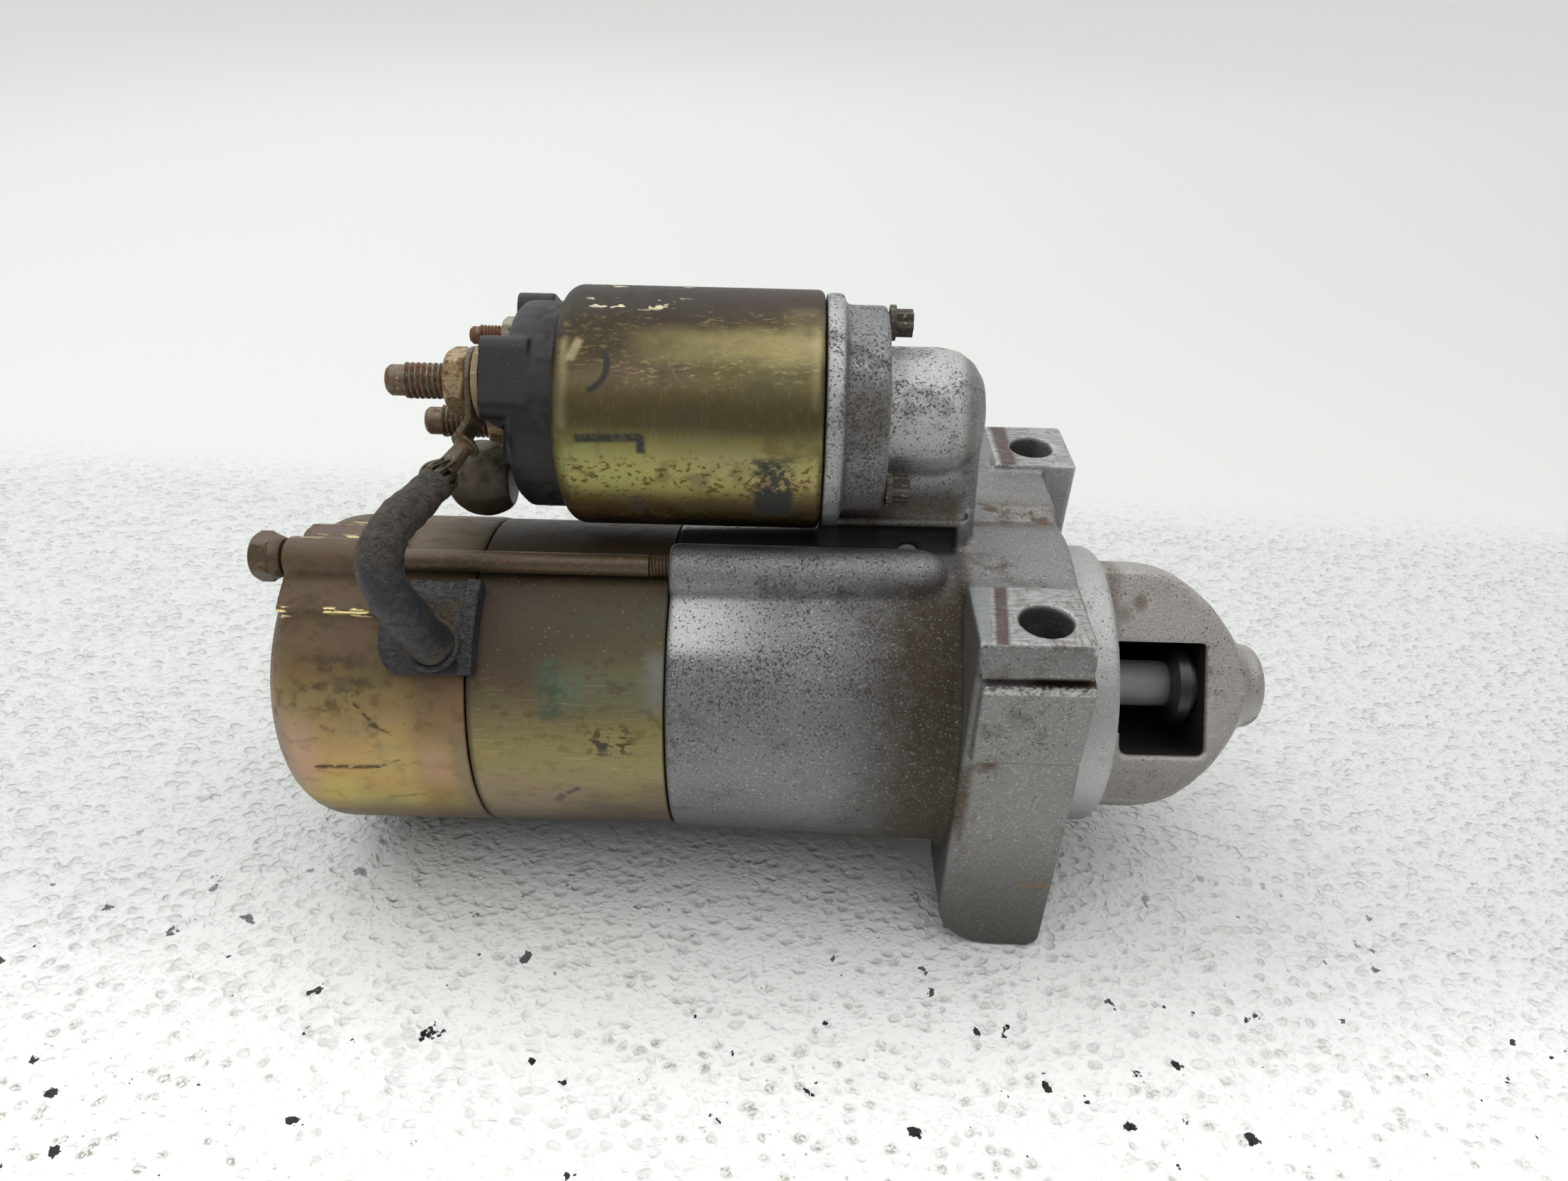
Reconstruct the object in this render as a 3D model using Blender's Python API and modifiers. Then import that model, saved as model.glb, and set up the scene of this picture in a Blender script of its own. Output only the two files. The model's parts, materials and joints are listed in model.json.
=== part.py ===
"""A gear-reduction car starter motor: every piece that it comes apart into, as its own solid.

Frame: X runs along the shaft, from the flat end of the rear cover (X = 0) to the nose. Z is the
outward normal of the two machined mounting lugs. Y completes the frame. Sizes are in millimetres,
and SCALE turns them into metres. The solenoid lies beside the motor, and the terminals, the
solenoid screws and the nose window are all turned by CLOCK about X.
"""

import math

import bmesh
import bpy
from mathutils import Matrix, Vector

SCALE = 0.001
GAP = 0.3
CLOCK = math.radians(34.8)

# Motor: positions along the shaft, then radii
COVER_END = 47.0
FRAME_START = COVER_END + GAP
FRAME_END = 90.7
HOUSING_START = FRAME_END + GAP
FLANGE_START = 156.0
FLANGE_END = 182.5
PILOT_END = 192.3
NOSE_END = 236.1
COVER_RADIUS = 38.0
COVER_WALL = 1.8
COVER_CORNER = 12.0
FRAME_RADIUS = 37.7
FRAME_WALL = 3.5
PILOT_RADIUS = 34.5
NOSE_RADIUS = 30.8
NOSE_FLAT = 12.8
SHAFT = (0.0, 0.0)

# Two long bolts hold the rear cover, the frame and the housing together
BOLT_CIRCLE = 41.0
BOLT_ANGLES = {"through_bolt_near": math.radians(106.0), "through_bolt_far": math.radians(286.0)}
BOLT_RADIUS = 2.45
BOLT_END = 110.0
BOLT_BOSS = 6.4
GROMMET_START = 28.5
GROMMET_ANGLES = (math.radians(117.0), math.radians(140.0))

# Mounting lugs: top plane, hole centres (X, Y) and hole radius
LUG_TOP = 43.8
FLANGE_FOOT = -50.0
NEAR_HOLE = (170.4, -34.4)
FAR_HOLE = (181.0, 43.6)
LUG_HOLE_RADIUS = 5.5
NEAR_LUG_Y = (-43.0, -22.0)
FAR_LUG_Y = (33.0, 56.0)
FAR_LUG_X = (170.0, 191.0)

# Solenoid: axis position (Y, Z), positions along it, then radii
SOLENOID = (14.5, 66.1)
CAN_START = 67.0
CAN_END = 124.2
CAN_RADIUS = 26.9
CAN_WALL = 1.6
EAR_START = CAN_END + GAP
EAR_END = 138.2
DOME_END = 161.2
DOME_RADIUS = 15.1
CAP_FACE = 51.6
CAP_RADIUS = 23.2
STUD_OFFSET = 14.2
STUD_UP = 2.1
SIGNAL_STUD = (8.0, 17.5)
SCREW_CIRCLE = 20.6
SCREW_ANGLES = (0.0, 117.0, 243.0)

# Planetary gears: module, teeth, and where the gear train sits
MODULE = 1.25
SUN_TEETH = 12
PLANET_TEETH = 15
RING_TEETH = SUN_TEETH + 2 * PLANET_TEETH
PLANET_CIRCLE = MODULE * (SUN_TEETH + PLANET_TEETH) / 2
GEAR_START = 94.2
GEAR_END = 106.8

# Armature: winding slots, and where the brushes stand round the commutator
SLOTS = 14
BRUSH_ANGLES = [math.radians(20 + 90 * index) for index in range(4)]

# Output shaft and drive: the pinion stands retracted, and the lever throws it towards the nose
SHAFT_RADIUS = 5.8
GROOVE = (134.2, 142.8)
LEVER_X = 145.0
FORK_ARM = 36.0
LEVER_SWING = math.radians(10.35)
PINION_TEETH = 11
PINION_MODULE = 2.1
PINION_END = 198.5

SOLENOID_ARM = math.hypot(*SOLENOID)
LEVER_UP = Vector((0.0, SOLENOID[0], SOLENOID[1])) / SOLENOID_ARM
LEVER_SIDE = Vector((0.0, LEVER_UP.z, -LEVER_UP.y))
TOP_ARM = SOLENOID_ARM - FORK_ARM
HOOK_X = LEVER_X + TOP_ARM * math.sin(LEVER_SWING)

# Centre line of the brush lead, from the grommet to the terminal, chosen by hand
LEAD_ROUTE = (
    (41.4, -29.9, 29.6),
    (41.4, -33.4, 35.0),
    (40.7, -36.2, 40.8),
    (39.0, -37.4, 46.2),
    (37.4, -37.2, 50.4),
    (36.8, -35.6, 54.0),
    (36.9, -32.8, 57.0),
    (38.2, -28.2, 59.2),
    (40.7, -21.6, 60.2),
    (43.0, -15.0, 61.2),
)
BRAID_ROUTE = ((43.15, -14.1, 61.3), (43.35, -12.9, 61.55), (43.65, -11.6, 61.9))
BARREL = ((44.1, -10.5, 62.3), (47.3, -4.2, 65.2))
SLEEVE_RADIUS = 4.7
BRAID_RADIUS = 3.3


def place(x, across, up):
    """A point in the solenoid's clocked frame: across runs away from the window side, up is clocked."""
    y = SOLENOID[0] + across * math.cos(CLOCK) + up * math.sin(CLOCK)
    z = SOLENOID[1] - across * math.sin(CLOCK) + up * math.cos(CLOCK)
    return (x, y, z)


def lever_point(x, side, up):
    """A point in the shift lever's plane, measured from the shaft axis."""
    point = LEVER_UP * up + LEVER_SIDE * side
    return (x, point.y, point.z)


CLOCK_AXES = (Vector((0, math.cos(CLOCK), -math.sin(CLOCK))), Vector((0, math.sin(CLOCK), math.cos(CLOCK))))
LEVER_AXES = (LEVER_SIDE, LEVER_UP)


# ---------------------------------------------------------------- materials and objects

def make_material(name, colour, roughness, metallic):
    material = bpy.data.materials.new(name)
    material.use_nodes = True
    shader = material.node_tree.nodes["Principled BSDF"]
    shader.inputs["Base Color"].default_value = (*colour, 1.0)
    shader.inputs["Roughness"].default_value = roughness
    shader.inputs["Metallic"].default_value = metallic
    material.diffuse_color = (*colour, 1.0)
    return material


def make_materials():
    return {
        "aluminium": make_material("aluminium", (0.52, 0.53, 0.54), 0.5, 1.0),
        "plated_steel": make_material("plated_steel", (0.45, 0.36, 0.18), 0.35, 1.0),
        "steel": make_material("steel", (0.50, 0.50, 0.50), 0.3, 1.0),
        "rusty_steel": make_material("rusty_steel", (0.27, 0.17, 0.09), 0.75, 0.6),
        "black_plastic": make_material("black_plastic", (0.015, 0.016, 0.02), 0.4, 0.0),
        "rubber": make_material("rubber", (0.03, 0.033, 0.04), 0.75, 0.0),
        "brown_rubber": make_material("brown_rubber", (0.16, 0.12, 0.09), 0.85, 0.0),
        "copper": make_material("copper", (0.72, 0.35, 0.18), 0.35, 1.0),
        "carbon": make_material("carbon", (0.06, 0.05, 0.05), 0.7, 0.2),
        "magnet": make_material("magnet", (0.09, 0.09, 0.10), 0.6, 0.1),
        "bronze": make_material("bronze", (0.45, 0.30, 0.13), 0.45, 1.0),
        "polymer": make_material("polymer", (0.55, 0.52, 0.45), 0.5, 0.0),
    }


def finish(obj, name, material):
    """Name a finished piece, give it its material, and shade it smooth up to its sharp edges."""
    obj.name = name
    obj.data.name = name
    obj.data.materials.clear()
    obj.data.materials.append(material)
    obj.data.shade_smooth()
    obj.data.set_sharp_from_angle(angle=math.radians(32))
    return obj


def add_object(name, mesh, matrix=None):
    obj = bpy.data.objects.new(name, mesh)
    PARTS.objects.link(obj)
    if matrix is not None:
        obj.matrix_world = matrix
    return obj


def bake(obj):
    """Replace an object by the plain mesh that its modifiers make, in world space."""
    graph = bpy.context.evaluated_depsgraph_get()
    evaluated = obj.evaluated_get(graph)
    mesh = bpy.data.meshes.new_from_object(evaluated)
    mesh.transform(obj.matrix_world)
    bm = bmesh.new()
    bm.from_mesh(mesh)
    bmesh.ops.remove_doubles(bm, verts=bm.verts, dist=1e-7)
    bmesh.ops.recalc_face_normals(bm, faces=bm.faces)
    bm.to_mesh(mesh)
    bm.free()
    result = add_object(obj.name, mesh)
    bpy.data.objects.remove(obj)
    return result


def combine(target, tool, operation):
    """Cut or join target with tool, and remove tool."""
    modifier = target.modifiers.new("combine", "BOOLEAN")
    modifier.operation = operation
    modifier.solver = "EXACT"
    modifier.object = tool
    result = bake(target)
    bpy.data.objects.remove(tool)
    return result


def cut(target, *tools):
    for tool in tools:
        target = combine(target, tool, "DIFFERENCE")
    return target


def join(target, *tools):
    for tool in tools:
        target = combine(target, tool, "UNION")
    return target


# ---------------------------------------------------------------- basic shapes

def turned(profile, centre=(0.0, 0.0), segments=32):
    """A piece turned about X: profile holds (x, radius), rear to front outside, then back inside."""
    hollow = profile[0][1] > 0
    mesh = bpy.data.meshes.new("turned")
    points = [(radius * SCALE, 0.0, x * SCALE) for x, radius in reversed(profile)]
    edges = [(i, i + 1) for i in range(len(points) - 1)]
    if hollow:
        edges.append((len(points) - 1, 0))
    mesh.from_pydata(points, edges, [])
    obj = add_object("turned", mesh)
    obj.location = (0.0, centre[0] * SCALE, centre[1] * SCALE)
    obj.rotation_euler = (0.0, math.pi / 2, 0.0)
    screw = obj.modifiers.new("turn", "SCREW")
    screw.axis = "Z"
    screw.steps = segments
    screw.render_steps = segments
    screw.use_merge_vertices = True
    screw.merge_threshold = 1e-6
    bpy.context.view_layer.update()
    return bake(obj)


def cylinder(start, end, radius, segments=20, radius_end=None):
    """A cylinder or cone from start to end."""
    start = Vector(start) * SCALE
    end = Vector(end) * SCALE
    axis = end - start
    bm = bmesh.new()
    bmesh.ops.create_cone(bm, cap_ends=True, segments=segments, radius1=radius * SCALE,
                          radius2=(radius if radius_end is None else radius_end) * SCALE, depth=axis.length)
    mesh = bpy.data.meshes.new("cylinder")
    bm.to_mesh(mesh)
    bm.free()
    turn = Vector((0, 0, 1)).rotation_difference(axis.normalized()).to_matrix().to_4x4()
    mesh.transform(Matrix.Translation((start + end) / 2) @ turn)
    return add_object("cylinder", mesh)


def rod(x0, x1, radius, centre=(0.0, 0.0), segments=20):
    return cylinder((x0, *centre), (x1, *centre), radius, segments)


def box(low, high, origin=(0, 0, 0), axes=(Vector((0, 1, 0)), Vector((0, 0, 1)))):
    """A box with low and high corners given along X and the two axes, from origin."""
    size = [b - a for a, b in zip(low, high)]
    middle = [(a + b) / 2 for a, b in zip(low, high)]
    bm = bmesh.new()
    bmesh.ops.create_cube(bm, size=1.0)
    mesh = bpy.data.meshes.new("box")
    bm.to_mesh(mesh)
    bm.free()
    frame = Matrix((Vector((1, 0, 0)), axes[0], axes[1])).transposed().to_4x4()
    scale = Matrix.Diagonal((*[value * SCALE for value in size], 1.0))
    shift = Matrix.Translation(Vector(middle) * SCALE)
    mesh.transform(Matrix.Translation(Vector(origin) * SCALE) @ frame @ shift @ scale)
    return add_object("box", mesh)


def clocked_box(low, high, centre=SOLENOID):
    return box(low, high, (0, *centre), CLOCK_AXES)


def lever_box(low, high):
    return box(low, high, (0, 0, 0), LEVER_AXES)


def rounded(corners, steps=5):
    """An outline from corners (a, b, radius), each corner rounded by an arc of its radius."""
    outline = []
    count = len(corners)
    for i, (a, b, radius) in enumerate(corners):
        here = Vector((a, b))
        if radius <= 0:
            outline.append(here)
            continue
        back = (Vector(corners[i - 1][:2]) - here).normalized()
        ahead = (Vector(corners[(i + 1) % count][:2]) - here).normalized()
        half = back.angle(ahead) / 2
        centre = here + (back + ahead).normalized() * (radius / math.sin(half))
        start = here + back * (radius / math.tan(half)) - centre
        end = here + ahead * (radius / math.tan(half)) - centre
        sweep = start.angle_signed(end)
        for step in range(steps + 1):
            turn = Matrix.Rotation(-sweep * step / steps, 2)
            outline.append(centre + turn @ start)
    return outline


def extrude(loops, low, high, plane="YZ", origin=(0, 0, 0), axes=None):
    """A flat outline, with holes if it has more loops, from low to high across its plane.

    plane YZ runs along X, and plane XZ runs along Y. With axes, the outline's two directions are
    those axes and it runs along X.
    """
    curve = bpy.data.curves.new("outline", "CURVE")
    curve.dimensions = "2D"
    curve.fill_mode = "BOTH"
    curve.extrude = abs(high - low) / 2 * SCALE
    for loop in loops:
        spline = curve.splines.new("POLY")
        spline.points.add(len(loop) - 1)
        for point, place_2d in zip(spline.points, loop):
            point.co = (place_2d[0] * SCALE, place_2d[1] * SCALE, 0.0, 1.0)
        spline.use_cyclic_u = True
    middle = (low + high) / 2 * SCALE
    if plane == "XZ":
        columns = (Vector((1, 0, 0)), Vector((0, 0, 1)), Vector((0, -1, 0)))
        centre = Vector((0, middle, 0))
    else:
        pair = axes or (Vector((0, 1, 0)), Vector((0, 0, 1)))
        columns = (pair[0], pair[1], Vector((1, 0, 0)))
        centre = Vector((middle, 0, 0))
    frame = Matrix(columns).transposed().to_4x4()
    obj = add_object("outline", curve, Matrix.Translation(centre + Vector(origin) * SCALE) @ frame)
    bpy.context.view_layer.update()
    return bake(obj)


def circle(radius, segments=48, centre=(0.0, 0.0), phase=0.0):
    steps = [phase + 2 * math.pi * i / segments for i in range(segments)]
    return [(centre[0] + radius * math.cos(t), centre[1] + radius * math.sin(t)) for t in steps]


def sector(inner, outer, start, end, steps):
    """The outline of a ring sector between two angles in radians from +Y."""
    angles = [start + (end - start) * i / steps for i in range(steps + 1)]
    outside = [(outer * math.cos(t), outer * math.sin(t)) for t in angles]
    inside = [(inner * math.cos(t), inner * math.sin(t)) for t in reversed(angles)]
    return outside + inside


def tube(route, radius, sides=3):
    """A round tube or wire along a list of points."""
    curve = bpy.data.curves.new("tube", "CURVE")
    curve.dimensions = "3D"
    curve.bevel_depth = radius * SCALE
    curve.bevel_resolution = sides
    curve.use_fill_caps = True
    spline = curve.splines.new("POLY")
    spline.points.add(len(route) - 1)
    for point, where in zip(spline.points, route):
        point.co = (*(value * SCALE for value in where), 1.0)
    return bake(add_object("tube", curve))


def smooth_route(points, steps):
    """Points on a Catmull-Rom curve through the given points."""
    ends = [Vector(points[0]) * 2 - Vector(points[1]), Vector(points[-1]) * 2 - Vector(points[-2])]
    nodes = [ends[0]] + [Vector(p) for p in points] + [ends[1]]
    route = []
    for i in range(1, len(nodes) - 2):
        a, b, c, d = nodes[i - 1:i + 3]
        for step in range(steps):
            t = step / steps
            route.append(0.5 * (2 * b + (c - a) * t + (2 * a - 5 * b + 4 * c - d) * t * t
                                + (3 * b - a - 3 * c + d) * t ** 3))
    route.append(nodes[-2])
    return route


def coil(start, end, radius, turns, wire, centre=(0.0, 0.0), per_turn=7):
    """A helical spring along X between two X positions."""
    count = int(turns * per_turn)
    route = []
    for i in range(count + 1):
        angle = 2 * math.pi * i / per_turn
        x = start + wire + (end - start - 2 * wire) * i / count
        route.append((x, centre[0] + radius * math.cos(angle), centre[1] + radius * math.sin(angle)))
    return tube(route, wire, sides=1)


def gear(teeth, module, low, high, centre=(0.0, 0.0), phase=0.0, bore=None, inner=False, outer=None):
    """A spur gear along X, or a ring gear with teeth inside when inner is set.

    The flanks are straight lines from the root to the tip with 0.5 mm of backlash.
    """
    pitch_radius = module * teeth / 2
    sign = -1 if inner else 1
    tip = pitch_radius + sign * module * 0.9
    root = pitch_radius - sign * module * 1.2
    quarter = math.pi / (2 * teeth) - 0.25 / pitch_radius / 2
    lean = math.tan(math.radians(21))
    outline = []
    for i in range(teeth):
        middle = phase + 2 * math.pi * i / teeth
        at_root = quarter + abs(pitch_radius - root) * lean / pitch_radius
        at_tip = quarter - abs(tip - pitch_radius) * lean / pitch_radius
        for radius, offset in ((root, -at_root), (tip, -at_tip), (tip, at_tip), (root, at_root)):
            angle = middle + offset
            outline.append((radius * math.cos(angle), radius * math.sin(angle)))
    loops = [outline]
    if inner:
        loops = [circle(outer, 48), outline]
    elif bore:
        loops.append(circle(bore, 12))
    return extrude(loops, low, high, origin=(0, *centre))


def hexagon(x0, x1, across_flats, centre, bore, phase=0.0):
    """A hexagon nut along X, with its corners turned down at both ends."""
    corner = across_flats / math.sqrt(3)
    nut = extrude([circle(corner, 6, phase=phase), circle(bore, 12)], x0, x1, origin=(0, *centre))
    chamfer = 1.0 if across_flats > 9 else 0.6
    limit = turned(((x0 - 1, 0), (x0 - 1, across_flats / 2 - 1.4), (x0 + chamfer, corner + 0.05),
                    (x1 - chamfer, corner + 0.05), (x1 + 1, across_flats / 2 - 1.4), (x1 + 1, 0)),
                   centre, 18)
    return combine(nut, limit, "INTERSECT")


def arc_profile(centre_x, centre_r, radius, start, end, steps):
    """Points (x, radius) on an arc, with angles in degrees from +X towards the outside."""
    angles = [math.radians(start + (end - start) * i / steps) for i in range(steps + 1)]
    return [(centre_x + radius * math.cos(t), centre_r + radius * math.sin(t)) for t in angles]


def bolt_place(angle, radius=BOLT_CIRCLE):
    return (radius * math.cos(angle), radius * math.sin(angle))


# ---------------------------------------------------------------- rear cover, frame and housing

def rear_cover():
    """A drawn steel cup with raised pads and round channels for the two long bolts."""
    corner = arc_profile(COVER_CORNER, COVER_RADIUS - COVER_CORNER, COVER_CORNER, 180, 90, 6)
    cover = turned([(0, 0), *corner, (COVER_END, COVER_RADIUS), (COVER_END, 0)], segments=48)
    for angle in BOLT_ANGLES.values():
        pad = extrude([sector(26, 40.0, angle - math.radians(21), angle + math.radians(19), 5)], 4.75, 28.2)
        channel = rod(5, 28, 5.0, bolt_place(angle, BOLT_CIRCLE - 0.4), 16)
        cover = join(cover, pad, channel)
    inner = arc_profile(COVER_CORNER, COVER_RADIUS - COVER_CORNER, COVER_CORNER - COVER_WALL, 180, 90, 3)
    hollow = turned([(12, 0), (12, 9.0), (COVER_WALL, 9.0), *inner, (60, COVER_RADIUS - COVER_WALL),
                     (60, 0)], segments=32)
    pocket = rod(COVER_WALL, 20, 7.1)
    cover = cut(cover, hollow, pocket)
    for angle in BOLT_ANGLES.values():
        cover = cut(cover, rod(-1, 35, BOLT_RADIUS + GAP, bolt_place(angle), 16))
    notch = extrude([sector(30, 45, *GROMMET_ANGLES, 4)], GROMMET_START + 2.5, 60)
    return cut(cover, notch)


def lead_grommet():
    """The rubber grommet in the cover's notch: a plug, a lip outside, and a wedge at the seam."""
    inset = math.radians(0.5)
    first, last = GROMMET_ANGLES
    plug = extrude([sector(34.6, 39.0, first + inset, last - inset, 6)], GROMMET_START + 2.8, COVER_END)
    lip = extrude([sector(COVER_RADIUS + GAP, 40.4, first - math.radians(4), last + math.radians(4), 8)],
                  GROMMET_START, 50.0)
    middle = (first + last) / 2
    out = Vector((0, math.cos(middle), math.sin(middle)))
    side = Vector((0, -out.z, out.y))
    shape = extrude([rounded(((GROMMET_START, -11.9, 8), (60, -11.9, 0), (60, 11.9, 0),
                              (GROMMET_START, 11.9, 3)))], 30, 50, plane="XZ")
    turn = Matrix((Vector((1, 0, 0)), -out, side)).transposed().to_4x4()
    shape.data.transform(turn @ Matrix.Translation((0, -0.08, 0)))
    lip = combine(lip, shape, "INTERSECT")
    wedge = extrude([sector(COVER_RADIUS + GAP, 42.0, first - math.radians(3.5), last + math.radians(3.5), 8)],
                    46.6, 49.8)
    return join(plug, lip, wedge)


def field_frame():
    inner = FRAME_RADIUS - FRAME_WALL
    return turned([(FRAME_START, FRAME_RADIUS), (FRAME_END, FRAME_RADIUS), (FRAME_END, inner),
                   (FRAME_START, inner)], segments=48)


def housing_outside():
    """The casting before it is cored: barrel, flange, lugs, pilot, neck, ear and dome."""
    body = turned([(HOUSING_START, 0), (HOUSING_START, 37.4), (HOUSING_START + 0.8, 38.2), (147, 40.0),
                   (159, 40.4), (159, 0)], segments=48)
    plate = extrude([circle(41, 40)], FLANGE_START, FLANGE_END)
    saddle = extrude([((-24, 0), (-24, 39), (12, 39), (15.5, 42), (35, 42), (35, 0))],
                     FLANGE_START + 0.2, FLANGE_END - 0.2)
    rear = FLANGE_START - 0.3
    near = extrude([rounded(((rear, LUG_TOP, 0), (rear, FLANGE_FOOT, 14),
                             (FLANGE_END - 1, FLANGE_FOOT, 3), (FLANGE_END - 1, 0, 0),
                             (FLANGE_END - 3, LUG_TOP, 0)))], *NEAR_LUG_Y, plane="XZ")
    block = box((157.0, -45.6, 14.0), (180.5, -40, 35.0))
    brow = extrude([((-42.8, LUG_TOP - 0.1), (-30, LUG_TOP - 0.1), (-30, 36.4), (-45.2, 36.4))], 156.6, 179.2)
    far = extrude([rounded(((FAR_LUG_X[0], LUG_TOP, 0), (FAR_LUG_X[0], FLANGE_FOOT, 6),
                            (FAR_LUG_X[1] - 2, FLANGE_FOOT, 6), (FAR_LUG_X[1], LUG_TOP, 0)))],
                  *FAR_LUG_Y, plane="XZ")
    rib = box((FLANGE_START + 4, 20, -36), (FLANGE_END - 0.5, 42, 41))
    body = join(body, plate, saddle, near, block, brow, far, rib)
    for angle in BOLT_ANGLES.values():
        centre = bolt_place(angle, 39.4)
        boss = turned([(HOUSING_START, 0), (HOUSING_START, BOLT_BOSS - 0.6), (HOUSING_START + 0.7, BOLT_BOSS),
                       *arc_profile(147, 0, BOLT_BOSS, 90, 0, 3)], centre, 16)
        body = join(body, boss)
    neck = lever_box((EAR_START, -11.8, 25), (158.5, 11.8, 47.5))
    web = lever_box((EAR_START + 6, -8.8, 40), (160.2, 8.8, 66))
    collar = rod(EAR_START, EAR_START + 4.2, 26.4, SOLENOID, 32)
    ear = rod(EAR_START + 2, EAR_END, 23.9, SOLENOID, 32)
    corner = 10.5
    dome = turned([(130, 0), (130, DOME_RADIUS), *arc_profile(DOME_END - corner, DOME_RADIUS - corner, corner,
                                                              90, 0, 4), (DOME_END, 0)], SOLENOID, 24)
    return join(body, neck, web, collar, ear, dome)


def nose():
    """The pilot ring and the rounded nose, flat on the side where the ring gear turns."""
    curve = ((204, 30.8), (208.5, 30.2), (212.7, 28.6), (217, 25.9), (221.4, 22.2), (225.8, 17.2),
             (228.6, 13.3), (231, 10.8))
    tip = ((233.9, 10.4), (235.5, 9.0), (NOSE_END, 6.8), (NOSE_END, 0))
    shell = turned([(180, 0), (180, NOSE_RADIUS), *curve, *tip], segments=32)
    flat = clocked_box((PILOT_END - 8, -40, -40), (245, -NOSE_FLAT, 40), SHAFT)
    shell = cut(shell, flat)
    pilot = turned([(180, 0), (180, PILOT_RADIUS), (PILOT_END - 1, PILOT_RADIUS),
                    (PILOT_END, PILOT_RADIUS - 1), (PILOT_END, 0)], segments=48)
    boss = turned([(205, 0), (205, 10.8), *((x, radius) for x, radius in tip)], segments=20)
    return join(shell, pilot, boss)


def drive_end_housing():
    """The die-cast housing, cored for the gears, the drive, the lever and the plunger."""
    body = join(housing_outside(), nose())
    gears = rod(85, 115, 33.2, segments=32)
    drive = rod(110, 190.5, 21.6, segments=24)
    front = rod(185, 219.3, 16.6, segments=24)
    bore = rod(210, 232.2, 7.3)
    plunger = rod(120, 157.6, 11.7, SOLENOID, 24)
    slot = lever_box((133, -6.6, 12), (157.2, 6.6, 66))
    window = clocked_box((199.0, -45, -16.5), (219.3, 0, 10.5), SHAFT)
    near = cylinder((*NEAR_HOLE, -60), (*NEAR_HOLE, 60), LUG_HOLE_RADIUS, 24)
    far = cylinder((*FAR_HOLE, -60), (*FAR_HOLE, 60), LUG_HOLE_RADIUS, 24)
    body = cut(body, gears, drive, front, bore, plunger, slot, window, near, far)
    for angle in BOLT_ANGLES.values():
        body = cut(body, rod(85, BOLT_END + 3, BOLT_RADIUS + GAP, bolt_place(angle), 16))
    for angle in SCREW_ANGLES:
        body = cut(body, rod(120, 150, 2.7, screw_place(angle), 12))
    pin = cylinder(lever_point(LEVER_X, -10.2, FORK_ARM), lever_point(LEVER_X, 20, FORK_ARM), 3.3, 16)
    return cut(body, pin)


def screw_place(angle):
    turn = math.radians(angle)
    return place(0, SCREW_CIRCLE * math.cos(turn), SCREW_CIRCLE * math.sin(turn))[1:]


# ---------------------------------------------------------------- fasteners

def through_bolt(angle):
    centre = bolt_place(angle)
    head = extrude([circle(5.77, 6)], -1.8, 2.7, origin=(0, *centre))
    neck = turned([(2.4, 0), (2.4, 5.1), (3.1, 5.1), (4.6, 4.3), (4.6, 0)], centre, 16)
    shank = rod(3, BOLT_END, BOLT_RADIUS, centre, 16)
    return join(head, neck, shank)


def terminal_stud(centre, tip, end, radius, head):
    """A contact stud: an unthreaded tip, the threaded shank, and a flat head inside the cap."""
    dog = radius * 0.82
    head_end = end + 2.6
    return turned([(tip, 0), (tip, dog - 0.5), (tip + 0.5, dog), (tip + radius, dog),
                   (tip + radius * 1.1, radius), (end, radius), (end, head),
                   (head_end, head), (head_end, 0)], centre, 16)


def washer(x0, x1, outer, bore, centre):
    return turned([(x0, outer), (x1, outer), (x1, bore), (x0, bore)], centre, 20)


def solenoid_screw(angle):
    """A screw with a six-lobed head and a fixed washer."""
    centre = screw_place(angle)
    lobes = []
    for i in range(24):
        turn = 2 * math.pi * i / 24
        radius = 2.75 + 0.35 * math.cos(6 * turn)
        lobes.append((radius * math.cos(turn), radius * math.sin(turn)))
    head = extrude([lobes], EAR_END + 1.2, EAR_END + 5.4, origin=(0, *centre))
    plate = rod(EAR_END + GAP, EAR_END + 1.6, 3.9, centre, 16)
    shank = rod(120.4, EAR_END + 1, 2.4, centre, 12)
    return join(head, plate, shank)


# ---------------------------------------------------------------- solenoid

def solenoid_can():
    lip = arc_profile(CAN_START + 4, CAN_RADIUS - 4, 4, 180, 90, 4)
    inner = CAN_RADIUS - CAN_WALL
    can = turned([(CAN_START + 1.6, CAP_RADIUS + GAP), (CAN_START, CAP_RADIUS + GAP), *lip[1:],
                  (CAN_END - 1.2, CAN_RADIUS), (CAN_END, CAN_RADIUS - 1.2), (CAN_END, 11.9),
                  (CAN_END - CAN_WALL, 11.9), (CAN_END - CAN_WALL, inner), (CAN_START + 1.6, inner)],
                 SOLENOID, 36)
    for angle in SCREW_ANGLES:
        can = cut(can, rod(118, 130, 2.7, screw_place(angle), 12))
    return can


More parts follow.
